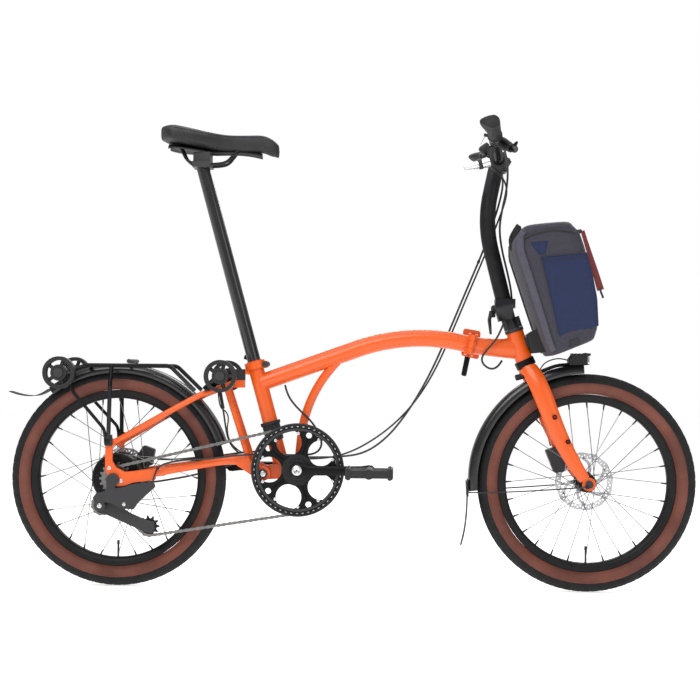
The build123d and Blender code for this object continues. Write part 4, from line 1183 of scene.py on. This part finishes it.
def guard_fittings():
    stays = []
    for side in (-1, 1):
        line = smooth_route([(WHEELBASE - 8, side * 68.5, 251), (WHEELBASE - 90, side * 66, 244),
                             (WHEELBASE - 190, side * 60, 237), (WHEELBASE - 262, side * 42, 233),
                             (WHEELBASE - 281, side * 20, 232)], 6)
        stays.append(tube(line, 1.6, 8))
    piece("front_guard_stays", stays, "black_metal", "fork")
    clips = []
    for side in (-1, 1):
        clips.append(disc((WHEELBASE - 6, 251), side * 67.1, side * 71, 5, 20, 0.8))
        clips += bolt((WHEELBASE - 6, 251), side * 71, side, 3, 2)
    clips.append(prism(rounded([(WHEELBASE - 284, 258), (WHEELBASE - 279, 258), (WHEELBASE - 277.5, 222),
                                (WHEELBASE - 282.5, 222)], 1.5), -22, 22))
    piece("front_guard_clips", clips, "plastic", "fork")


guard_fittings()


def headlight():
    """A finned lamp body with a clear lens on a bracket from the fork crown."""
    outline = rounded([(1067, 533), (1066, 548), (1075, 560), (1108, 562.5), (1108, 535)], 4)
    parts = [prism(outline, -22, 22, 2)]
    for k in range(4):
        x = 1074 + 8 * k
        parts.append(prism(rounded([(x, 536), (x + 3, 536), (x + 3, 563), (x, 561)], 1), -23.4, 23.4, 0.6))
    shade = rounded([(1104, 534), (1104, 564), (1119, 562), (1116, 557), (1110, 556), (1110, 538),
                     (1115, 536)], 1.5)
    parts.append(prism(shade, -23.6, 23.6, 1))
    bracket_line = smooth_route([(1000, 0, 518), (1022, 0, 527), (1045, 0, 535), (1072, 0, 536)], 6)
    piece("headlight_body", parts, "plastic", "fork", ("headlight",))
    piece("headlight_arm", [tube(bracket_line, 4.2, 12)], "black_metal", "fork")
    piece("headlight_glass", [prism(rounded([(1108, 538.5), (1108, 556), (1115, 555), (1115.5, 540)], 2),
                                    -20, 20, 1.5)],
          "lens", "fork")
    lead = smooth_route([(1068, 6, 546), (1050, 8, 551), (1030, 10, 548), (1010, 11, 538), (1000, 10, 520),
                         (992, 12, 505)], 6)
    piece("headlight_lead", [tube(lead, 1.5, 8)], "cable", "fork")


headlight()


# ------------------------------------------------------------------ saddle
def saddle():
    """A padded saddle: wide winged tail, dished middle and a rounded nose."""
    tail = 92.0
    nose = 377.0
    rings = []
    count = 46
    around = 40
    for k in range(count + 1):
        t = k / count
        x = mix(tail, nose, t)
        grow = math.sin(math.pi / 2 * min(1, t / 0.14)) ** 0.8 if t > 0 else 0.0
        taper = 1 / (1 + math.exp((t - 0.40) * 13))
        half = (17 + 61 * taper) * max(grow, 0.12)
        if t > 0.94:
            half *= math.sqrt(max(0.02, 1 - ((t - 0.94) / 0.062) ** 2))
        if t < 0.12:
            top = 1100 - 5 * (t / 0.12 - 1) ** 2
        else:
            top = 1100 - 22 * math.sin(math.pi / 2 * min(1, (t - 0.12) / 0.5)) ** 1.3
        if t > 0.8:
            top -= 26 * ((t - 0.8) / 0.2) ** 2.4
        depth = mix(47, 42, min(1, t / 0.4)) * (0.6 + 0.4 * max(grow, 0.1))
        if t > 0.93:
            depth *= mix(1, 0.72, (t - 0.93) / 0.07)
        ring = []
        for i in range(around):
            a = 2 * math.pi * i / around
            c = math.cos(a)
            s = math.sin(a)
            y = half * math.copysign(abs(c) ** 0.72, c)
            if s >= 0:
                z = top - depth * 0.42 * (1 - s ** 0.8)
                dish = 3.4 * math.exp(-(y / 11.0) ** 2) * math.sin(math.pi * min(1,
                                                                                 max(0, (t - 0.16) / 0.74)))
                z -= max(0, dish) * s
            else:
                z = top - depth * 0.42 - depth * 0.58 * (-s) ** 0.75
            droop = 10.0 * (abs(y) / 78.0) ** 2
            ring.append(at(x, y, z - droop))
        rings.append(ring)
    item = piece("saddle_padding", [loft_rings(rings)], "saddle", "seat_post",
                 ("saddle_cover",),
                 sharp=80)
    smooth = item.modifiers.new("smooth", "SUBSURF")
    smooth.levels = 1
    smooth.render_levels = 1

    # The seam that runs round the top.
    seams = []
    for side in (-1, 1):
        route = []
        for k in range(4, count - 3, 3):
            ring = rings[k]
            p = ring[4] if side > 0 else ring[16]
            route.append(p + Vector((0, 0, 0.3 * MM)))
        seams.append(tube(route, 0.9, 8))
    piece("saddle_seams", seams, "seam", "seat_post")


saddle()


def saddle_underside():
    """Shell and rails, from the saddle's nose to its tail."""
    rails = []
    for side in (-1, 1):
        line = smooth_route([(138, side * 20, 1052), (146, side * 18, 1038), (154, side * 20, 1018),
                             (170, side * 22, 1006),
                             (205, side * 22, 1004), (238, side * 22, 1006), (254, side * 20, 1011),
                             (268, side * 15, 1028), (284, side * 10, 1046)], 8)
        rails.append(tube(line, 3.5, 14))
    piece("saddle_rail_bars", rails, "black_metal", "seat_post", ("saddle_base_and_rails",))
    rings = []
    for k in range(25):
        t = k / 24
        x = mix(112, 336, t)
        taper = 1 / (1 + math.exp((t - 0.36) * 12))
        half = (10 + 40 * taper) * (0.4 + 0.6 * math.sin(math.pi / 2 * min(1, t / 0.12)))
        top = mix(1058, 1046, min(1, t / 0.5)) - (9 * ((t - 0.7) / 0.3) ** 2 if t > 0.7 else 0)
        ring = []
        for i in range(17):
            s = -1 + i / 8
            ring.append(at(x, half * s, top - 3 - 10 * s * s))
        for i in range(17):
            s = 1 - i / 8
            ring.append(at(x, half * s * 0.97, top - 6 - 10 * s * s))
        rings.append(ring)
    piece("saddle_shell", [loft_rings(rings)], "plastic", "seat_post", sharp=50)


saddle_underside()


# ------------------------------------------------------------------ grips, controls
def bar_point(y):
    """A point on the outer part of the handlebar."""
    share = (abs(y) - 105) / (278.0 - 105)
    return at(897 - 12 - 17 * share, y, 1018 + 30 + 18 * share)


def grip(side):
    """An ergonomic grip: a ribbed barrel that widens to a palm wing."""
    a = bar_point(side * 160)
    b = bar_point(side * 279)
    along = (b - a).normalized()
    back = Vector((-0.99, 0, 0.12))
    back = (back - along * back.dot(along)).normalized()
    over = along.cross(back).normalized()
    rings = []
    count = 60
    for k in range(count + 1):
        t = k / count
        p = a.lerp(b, t)
        wing = 0.0 if t < 0.22 else math.sin(math.pi / 2 * min(1, (t - 0.22) / 0.6)) ** 1.6
        reach = 15.2 + 15.0 * wing
        if t > 0.9:
            reach -= 8.0 * ((t - 0.9) / 0.1) ** 2
        round_end = 1.0 if 0.02 < t < 0.975 else 0.86
        ridge = 0.45 * (1 if k % 3 == 0 else 0) if 0.08 < t < 0.9 else 0
        ring = []
        for i in range(32):
            ang = 2 * math.pi * i / 32
            c = math.cos(ang)
            s = math.sin(ang)
            r = 15.2 - ridge
            if c > 0:
                u = mix(r, reach, c ** 0.8) * c
                v = r * s * (1 - 0.12 * wing * c)
            else:
                u = r * c
                v = r * s
            ring.append(p + (back * u + over * v) * MM * round_end)
        rings.append(ring)
    collar = [tube([a - along * 6 * MM, a - along * 5 * MM, a + along * 4 * MM, a + along * 5 * MM], 17.3, 32,
                   lambda t: 0.93 if t in (0.0, 1.0) else 1.0)]
    word = "left" if side > 0 else "right"
    piece(f"{word}_grip_rubber", [loft_rings(rings)], "grip", "handlepost",
          ("grips",) if side > 0 else (), sharp=60)
    piece(f"{word}_grip_collar", collar, "black_metal", "handlepost")


grip(1)
grip(-1)


LEVER_TILT = math.radians(33)
LEVER_OUT = Vector((math.cos(LEVER_TILT), 0, -math.sin(LEVER_TILT)))
LEVER_UP = Vector((math.sin(LEVER_TILT), 0, math.cos(LEVER_TILT)))


def lever_set(side):
    """Brake lever: clamp, reservoir, hinge and a curved two-finger blade, pointing forward and down."""
    word = "left" if side > 0 else "right"
    c = bar_point(side * 138)
    outward = (bar_point(side * 200) - c).normalized()

    def near(out, y, up):
        return c + (LEVER_OUT * out + Vector((0, side * y, 0)) + LEVER_UP * up) * MM
    clamp = [tube([c - outward * 9 * MM, c - outward * 8 * MM, c + outward * 8 * MM, c + outward * 9 * MM],
                  15.2, 28,
                  lambda t: 0.93 if t in (0.0, 1.0) else 1.0)]
    body_line = [near(*v) for v in ((10, -4, 1), (20, 0, 1), (30, 5, 0), (38, 10, -1), (45, 16, -2))]
    clamp.append(tube(body_line, 10.5, 24, lambda t: 0.85 + 0.3 * math.sin(math.pi * (0.25 + 0.6 * t))))
    tank = [near(*v) for v in ((14, -24, 3), (20, -12, 3), (27, 0, 1))]
    clamp.append(tube(tank, 8.6, 20, lambda t: 0.85 + 0.2 * math.sin(math.pi * t)))
    clamp.append(rod(near(30, -12, -3), near(30, 12, -3), 9.5, 28, 1.5))
    piece(f"{word}_lever_housing", clamp, "black_metal", "handlepost",
          ("lever_bodies",) if side > 0 else (), sharp=45)
    line = []
    for q in smooth_route([(v[0] + 500, side * v[1], v[2] + 500) for v in
                           ((38, 12, -4), (50, 24, -4), (57, 38, -4), (53, 56, -4), (48, 76, -4),
                            (47, 96, -4),
                            (49, 107, -4))], 8):
        flat = (q - at(500, 0, 500)) / MM
        line.append(c + (LEVER_OUT * flat.x + Vector((0, flat.y, 0)) + LEVER_UP * flat.z) * MM)
    rings = []
    for i, p in enumerate(line):
        t = i / (len(line) - 1)
        q = line[min(i + 1, len(line) - 1)]
        o = line[max(i - 1, 0)]
        d = (q - o).normalized()
        n = d.cross(LEVER_UP).normalized()
        deep = mix(5.0, 3.6, t)
        tall = mix(6.5, 5.4, t) * (1.0 if t < 0.93 else 1.25)
        rings.append([p + n * deep * MM * math.cos(a) + LEVER_UP * tall * MM * math.sin(a)
                      for a in (2 * math.pi * k / 14 for k in range(14))])
    blade = [loft_rings(rings), rod(near(38, 16, -12), near(38, 16, 4), 5.5, 20, 0.8)]
    piece(f"{word}_lever_blade", blade, "black_metal", f"{word}_lever",
          (f"{word}_brake_lever",), sharp=50)


lever_set(1)
lever_set(-1)


def controls():
    """Display on the left, gear shifter and bell on the right, with their clamps."""
    pod = bar_point(105)
    up = Vector((-0.62, 0, 0.78))
    side = Vector((0.78, 0, 0.62))
    rings = []
    for k, (grow, lift) in enumerate(((0.80, 9), (1.0, 12), (1.0, 25), (0.94, 29), (0.84, 30))):
        ring = []
        for i in range(32):
            a = 2 * math.pi * i / 32
            c = math.copysign(abs(math.cos(a)) ** 0.5, math.cos(a))
            s = math.copysign(abs(math.sin(a)) ** 0.5, math.sin(a))
            ring.append(pod + (side * 14 * c * grow + Vector((0, 1, 0)) * 13 * s * grow + up * lift) * MM)
        rings.append(ring)
    piece("display_case", [loft_rings(rings)], "plastic", "handlepost", ("bar_controls",),
          sharp=45)
    face = [[pod + (side * 10 * c * g + Vector((0, 1, 0)) * 9 * s * g + up * h) * MM
             for c, s in ((math.copysign(abs(math.cos(a)) ** 0.4, math.cos(a)),
                           math.copysign(abs(math.sin(a)) ** 0.4, math.sin(a)))
                          for a in (2 * math.pi * i / 28 for i in range(28)))]
            for g, h in ((1.0, 29.6), (1.0, 30.6), (0.95, 30.9))]
    piece("display_face", [loft_rings(face)], "gloss_black", "handlepost")
    buttons = []
    for k in (-1, 1):
        spot = pod + (side * -7 + Vector((0, 1, 0)) * 4 * k + up * 30.6) * MM
        buttons.append(rod(spot, spot + up * 1.2 * MM, 2.2, 16, 0.4))
    piece("display_buttons", buttons, "rubber", "handlepost")

    # Thumb switch behind the right of the bar. Below it, a silver tapered barrel with a dark band is a
    # painted highlight, standing where the far grip shows bright.
    spot = bar_point(-112)

    def near(x, y, z):
        return spot + Vector((x, y, z)) * MM
    clamp = [tube([near(0, 7, 0), near(0, 6, 0), near(0, -6, 0), near(0, -7, 0)], 14.6, 28,
                  lambda t: 0.92 if t in (0.0, 1.0) else 1.0)]
    clamp.append(tube([near(-8, 3, -12), near(-11, 7, -24), near(-11, 12, -36), near(-11, 14, -46)], 8, 18))
    piece("switch_body", clamp, "plastic", "handlepost", sharp=45)
    axis = Vector((-20, 0, -5))

    def barrel(name, steps, material):
        start = near(-11, 14, -46)
        rings = []
        for t, r in steps:
            p = start + axis * t * MM
            up = axis.cross(Vector((0, 1, 0))).normalized()
            rings.append([p + (Vector((0, 1, 0)) * math.cos(a) + up * math.sin(a)) * r * MM
                          for a in (2 * math.pi * k / 28 for k in range(28))])
        piece(name, [loft_rings(rings)], material, "handlepost", sharp=50)
    # Silver barrel: painted highlight in place of the far grip's bright reflection.
    barrel("silver_barrel_painted_highlight", [(0, 9), (0.05, 12), (0.5, 11.6), (0.9, 10.4), (1.9, 8.4), (2.7, 7.0), (2.95, 6.2),
                         (3.0, 4)],
           "silver")
    barrel("twist_collar", [(0.9, 9), (0.92, 12.4), (1.35, 12), (1.37, 8)], "plastic")
    thumb = [rod(at(870, -152, 1054), at(855, -152, 1056), 4, 16, 0.8)]
    piece("thumb_mount", thumb, "plastic", "handlepost")
    piece("thumb_lever", [rod(at(857, -152, 1055), at(847, -152, 1034), 1.7, 12, 0.5)], "silver",
          "handlepost")
    # The stem's clamp plate and its four screws.
    across = Vector((0.72, 0, 0.69))
    down = Vector((0.69, 0, -0.72))
    bolts = []
    for y in (-17, 17):
        for k in (-10, 10):
            p = at(914, y, 1026) + down * k * MM
            bolts.append(rod(p - across * 2 * MM, p + across * 4.5 * MM, 3.2, 16, 0.6))
    cap = rounded([(903, 1041), (929, 1014), (922, 1006), (897, 1032)], 3)
    piece("stem_face_plate", [prism(cap, -23.5, 23.5, 1.5)] + bolts, "black_metal", "handlepost")


controls()


# ------------------------------------------------------------------ bag
def bag_section(x_low, x_high, half, steps=48, power=0.36):
    """A rounded rectangle in plan, from its back face to its front face."""
    ring = []
    for i in range(steps):
        a = 2 * math.pi * i / steps
        c = math.copysign(abs(math.cos(a)) ** power, math.cos(a))
        s = math.copysign(abs(math.sin(a)) ** power, math.sin(a))
        ring.append((mix(x_low, x_high, (c + 1) / 2), half * s))
    return ring


BAG_BACK = [(0.00, 1016, 556), (0.10, 1001, 588), (0.35, 973, 670), (0.62, 949, 742), (0.82, 931, 795),
            (0.93, 931, 826), (1.00, 947, 846)]
BAG_FRONT = [(0.00, 1118, 597), (0.10, 1126, 623), (0.35, 1123, 688), (0.62, 1110, 755), (0.82, 1094, 812),
             (0.93, 1083, 843), (1.00, 1066, 858)]


def along_profile(table, t):
    for (t0, x0, z0), (t1, x1, z1) in zip(table, table[1:]):
        if t <= t1:
            s = (t - t0) / (t1 - t0)
            return mix(x0, x1, s), mix(z0, z1, s)
    return table[-1][1:]


def bag_point(t, u, y, out=0.0):
    """A point of the bag at height t, depth u from back to front, and y; out stands proud of the side."""
    xb, zb = along_profile(BAG_BACK, t)
    xf, zf = along_profile(BAG_FRONT, t)
    side = math.copysign(1, y) if y else 0
    return at(mix(xb, xf, u), y + side * out, mix(zb, zf, u))


def bag():
    """A stiff-sided cloth bag: a tapering rounded block with slack walls and a domed lid."""
    random.seed(4)
    steps = 72
    rows = 34
    half = BAG_HALF - 3
    rings = []
    for k in range(rows + 1):
        t = k / rows
        xb, zb = along_profile(BAG_BACK, t)
        xf, zf = along_profile(BAG_FRONT, t)
        belly = 1 - 0.045 * abs(2 * t - 1) ** 2
        ring = []
        for x, y in bag_section(0, 1, half * belly, steps):
            slack = 1.6 * noise.noise(Vector((x * 2.4, y * 0.02, t * 5)))
            slack += 0.5 * noise.noise(Vector((x * 8, y * 0.06, t * 14)))
            ring.append(at(mix(xb, xf, x), y * (1 + slack * 0.006), mix(zb, zf, x) + slack * 0.4))
        rings.append(ring)

    def closing(ring, levels, rise):
        """Rings that close the end in a low dome."""
        centre = sum(ring, Vector()) / len(ring)
        out = []
        for s, h in levels:
            out.append([centre + (p - centre) * s + Vector((0, 0, h * rise * MM)) for p in ring])
        return out
    lid = closing(rings[-1], ((0.97, 0.3), (0.9, 0.62), (0.75, 0.86), (0.5, 0.97), (0.2, 1.0)), 13)
    foot = closing(rings[0], ((0.2, 1.0), (0.5, 0.98), (0.8, 0.8), (0.94, 0.45)), -5)
    item = piece("bag_cloth", [loft_rings(foot + rings + lid)], "cloth_grey", "bag", ("bag",),
                 sharp=70)
    smooth = item.modifiers.new("smooth", "SUBSURF")
    smooth.levels = 1
    smooth.render_levels = 1

    def patch(name, t0, t1, u0, u1, side, lift, material, corner=0.12):
        """A cloth panel laid on the side of the bag: the sewn pockets and badges, and the paler band along
        the back edge, which is painted highlight.
        """
        outline = rounded([(u0(t0), t0), (u1(t0), t0), (u1(t1), t1), (u0(t1), t1)], corner, 6)
        n = 22
        grid = []
        for k in range(n + 1):
            row = []
            for i in range(n + 1):
                t = mix(t0, t1, k / n)
                u = mix(u0(t), u1(t), i / n)
                belly = 1 - 0.045 * abs(2 * t - 1) ** 2
                edge = min(i, n - i, k, n - k) / 3
                rise = lift * min(1.0, edge)
                row.append(bag_point(t, u, side * (half * belly), rise))
            grid.append(row)
        points = [p for row in grid for p in row]
        w = n + 1
        faces = [(k * w + i, k * w + i + 1, (k + 1) * w + i + 1,
                  (k + 1) * w + i) for k in range(n) for i in range(n)]
        if side > 0:
            faces = [tuple(reversed(f)) for f in faces]
        piece(name, [(points, faces)], material, "bag", sharp=70)
        return outline

    for side, word in ((-1, "right"), (1, "left")):
        patch(f"bag_pocket_{word}", 0.11, 0.75, lambda t: 0.24 + 0.1 * t, lambda t: 0.96, side, 2.6,
              "cloth_navy")
        # Paler band along the back edge: painted highlight where the bag turns toward the light.
        patch(f"bag_painted_highlight_band_{word}", 0.02, 0.97, lambda t: 0.01, lambda t: 0.12, side, 1.2, "cloth_painted_highlight")
        # A plain stitched badge patch, with no mark on it.
        patch(f"bag_badge_{word}", 0.77, 0.875, lambda t: 0.31 - 0.9 * (t - 0.77),
              lambda t: 0.39 + 0.9 * (t - 0.77),
              side, 2.4, "cloth_navy")
        seams = []
        for t0, u0, t1, u1 in ((0.11, 0.251, 0.75, 0.315), (0.75, 0.315, 0.75, 0.96),
                               (0.11, 0.96, 0.75, 0.96),
                               (0.71, 0.32, 0.71, 0.94)):
            line = []
            for k in range(15):
                t = mix(t0, t1, k / 14)
                u = mix(u0, u1, k / 14)
                belly = 1 - 0.045 * abs(2 * t - 1) ** 2
                line.append(bag_point(t, u, side * half * belly, 1.6))
            seams.append(tube(line, 0.8, 6))
        piece(f"bag_seams_{word}", seams, "seam", "bag")

    # The zip runs under the lid, round three sides.
    zip_line = []
    for k in range(61):
        s = k / 60
        if s < 0.35:
            u = mix(0.12, 0.93, s / 0.35)
            p = bag_point(0.93, u, -half * 0.97, 1.2)
            p += Vector((0, 0, (11 * math.sin(math.pi * s / 0.35) - 3) * MM))
        elif s < 0.65:
            v = (s - 0.35) / 0.3
            y = mix(-half * 0.97, half * 0.97, v)
            p = bag_point(0.93, 1.0, y)
            p += Vector(((1.2 - 5 * abs(2 * v - 1) ** 8) * MM, 0, 0))
        else:
            u = mix(0.93, 0.12, (s - 0.65) / 0.35)
            p = bag_point(0.93, u, half * 0.97, 1.2)
            p += Vector((0, 0, (11 * math.sin(math.pi * (s - 0.65) / 0.35) - 3) * MM))
        zip_line.append(p)
    piece("bag_zip_tape", [tube(zip_line, 2.6, 8)], "webbing_black", "bag")

    # Red pull strap down the front corner, ending in a black cord.
    strap = smooth_route([(1084, -119, 842), (1095, -121, 806), (1107, -122, 768), (1117, -122, 736),
                          (1126, -122, 706)], 8)
    rings = []
    for i, p in enumerate(strap):
        q = strap[min(i + 1, len(strap) - 1)]
        o = strap[max(i - 1, 0)]
        d = (q - o).normalized()
        n = Vector((d.z, 0, -d.x)).normalized()
        wide = n * mix(4.5, 8.0, i / (len(strap) - 1)) * MM
        thin = Vector((0, 1.2 * MM, 0))
        rings.append([p - wide - thin, p + wide - thin, p + wide + thin, p - wide + thin])
    piece("bag_pull_strap", [loft_rings(rings)], "webbing_red", "bag")
    cord_end = smooth_route([(1124, -122, 712), (1126, -122, 703), (1129, -122, 696), (1132, -122, 688)], 6)
    piece("bag_pull_end", [tube(cord_end, 2.6, 10)], "webbing_black", "bag")

    # Buckle and strap at the top of the back, and a webbing tab at the foot.
    buckle = rounded([(925, 822), (938, 812), (955, 838), (953, 862), (942, 868), (931, 850)], 4)
    piece("bag_buckle", [prism(buckle, -16, 16, 2.5)], "plastic", "bag")
    loop = smooth_route([(948, 0, 866), (934, 0, 846), (928, 0, 826), (934, 0, 806)], 6)
    piece("bag_buckle_strap", [tube(loop, 6.0, 12)], "webbing_black", "bag")
    for side in (-1, 1):
        word = "right" if side < 0 else "left"
        tab = [bag_point(t, u, side * half * 0.965, 2.4) for t, u in ((0.0, 0.4), (0.0, 0.62), (0.055, 0.6),
                                                                      (0.055, 0.42))]
        low = [p - Vector((0, side * 4 * MM, 0)) for p in tab]
        piece(f"bag_foot_tab_{word}", [loft_rings([low, tab])], "webbing_black", "bag",
              bevel=0.8)


bag()


# ------------------------------------------------------------------ small fittings on the frame
def fittings():
    """Screws, caps and bands where tubes meet, and the rear lamp's wires."""
    pivot = (348.0, 272.0)
    items = []
    for side in (-1, 1):
        items += bolt(pivot, side * 46, side, 7, 2.4)
    wires = [tube(smooth_route([(242, -12, 470), (246, -17, 442), (252, -20, 412), (256, -19, 382),
                                (262, -15, 352),
                                (273, -10, 330), (288, -6, 318)], 8), 2.2, 10),
             tube(smooth_route([(236, -6, 466), (238, -10, 444), (244, -12, 424), (256, -12, 418),
                                (263, -10, 402),
                                (258, -6, 376), (262, 0, 350), (276, 2, 330), (292, 2, 320)], 8), 1.6, 10),
             tube(smooth_route([(240, -12, 474), (243, -14, 458), (247, -17, 438), (250, -19, 424)], 8), 4.0,
                  14)]
    piece("rear_lamp_wires", wires, "cable", "rear_frame")
    piece("pivot_screws", items, "silver", "main_frame")
    items = bolt((GUIDE[0], GUIDE[1]), -84, -1, 5.5, 2.2) + bolt((28, 200), -84, -1, 4.0, 1.8)
    piece("tensioner_screws", items, "silver", "rear_frame")
    items = bolt((TENSION[0], TENSION[1]), CHAIN_Y - 6.5, -1, 4.2, 1.8)
    piece("cage_screw", items, "silver", "tensioner_cage")
    items = bolt((-9, 284), -77, -1, 4.5, 2.0) + bolt((19, 254), -77, -1, 4.5, 2.0)
    piece("dropout_screws", items, "silver", "rear_frame")

    def on_seat_tube(z):
        return at(SEAT_TOP[0] + (SEAT_TOP[1] - z) * math.tan(SEAT_LEAN), 0, z)

    bands = [sleeve(on_seat_tube(349), on_seat_tube(393), 21.4, 18),
             sleeve(on_seat_tube(386), on_seat_tube(394), 24, 18)]
    piece("seat_tube_band", bands, "rubber", "main_frame")
    bosses = []
    for side in (-1, 1):
        for x, z in FORK_BOSSES:
            bosses.append(lathe((x, z), [(2.6, side * 65), (5.7, side * 65), (5.7, side * 67.1),
                                         (2.6, side * 67.5)], 24))
    piece("fork_boss_rings", bosses, "black_metal", "fork")
    knob = rod(at(964, -6, 509), at(942, -7, 503), 7, 20, 1.5)
    piece("crown_plug", [knob], "rubber", "fork")
    band = sleeve(at(969.3, 0, 529.9), at(961.7, 0, 546.1), 24, 19)
    piece("headset_band", [band], "black_metal", "front_frame")


fittings()


# ------------------------------------------------------------------ materials for the CAD nodes that stay
FINISH = {
    "frame_paint": ["main_frame", "front_frame", "fork", "rear_frame", "seat_and_fold_clamps"],
    "black_metal": ["frame_bearings_and_pins", "seat_clamp_lever", "fold_clamp_lever", "headset",
                    "front_axle", "front_caliper",
                    "handlepost_base", "handlebar", "handlepost_clamp_lever", "rack_and_roller_bracket",
                    "rear_caliper", "rear_axle", "chain_tensioner", "tensioner_cage", "chainring_and_guard",
                    "saddle_clamp"],
    "post_metal": ["handlepost"],
    "gloss_black": ["seat_post"],
    "plastic": ["carrier_block", "battery", "guide_pulley", "tension_pulley", "front_rollers",
                "rear_rollers"],
    "rubber": ["suspension_block"],
    "chain": ["cassette"],
    "disc": ["pedal_axles"],
}
SOFT_EDGES = {"fork": 1.0, "main_frame": 1.0, "front_frame": 1.2, "rear_frame": 1.2, "carrier_block": 1.5,
              "front_caliper": 1.0, "rear_caliper": 1.0, "chain_tensioner": 1.2, "front_rollers": 0.8,
              "rear_rollers": 0.8, "handlepost_base": 1.0, "seat_and_fold_clamps": 1.0, "saddle_clamp": 1.0,
              "fold_clamp_lever": 1.0, "seat_clamp_lever": 1.0, "handlepost_clamp_lever": 1.0}


def finish_nodes():
    for material, names in FINISH.items():
        for name in names:
            item = NODES[name]
            item.data.materials.clear()
            item.data.materials.append(M[material])
            if name in SOFT_EDGES:
                soften(item, SOFT_EDGES[name])


finish_nodes()
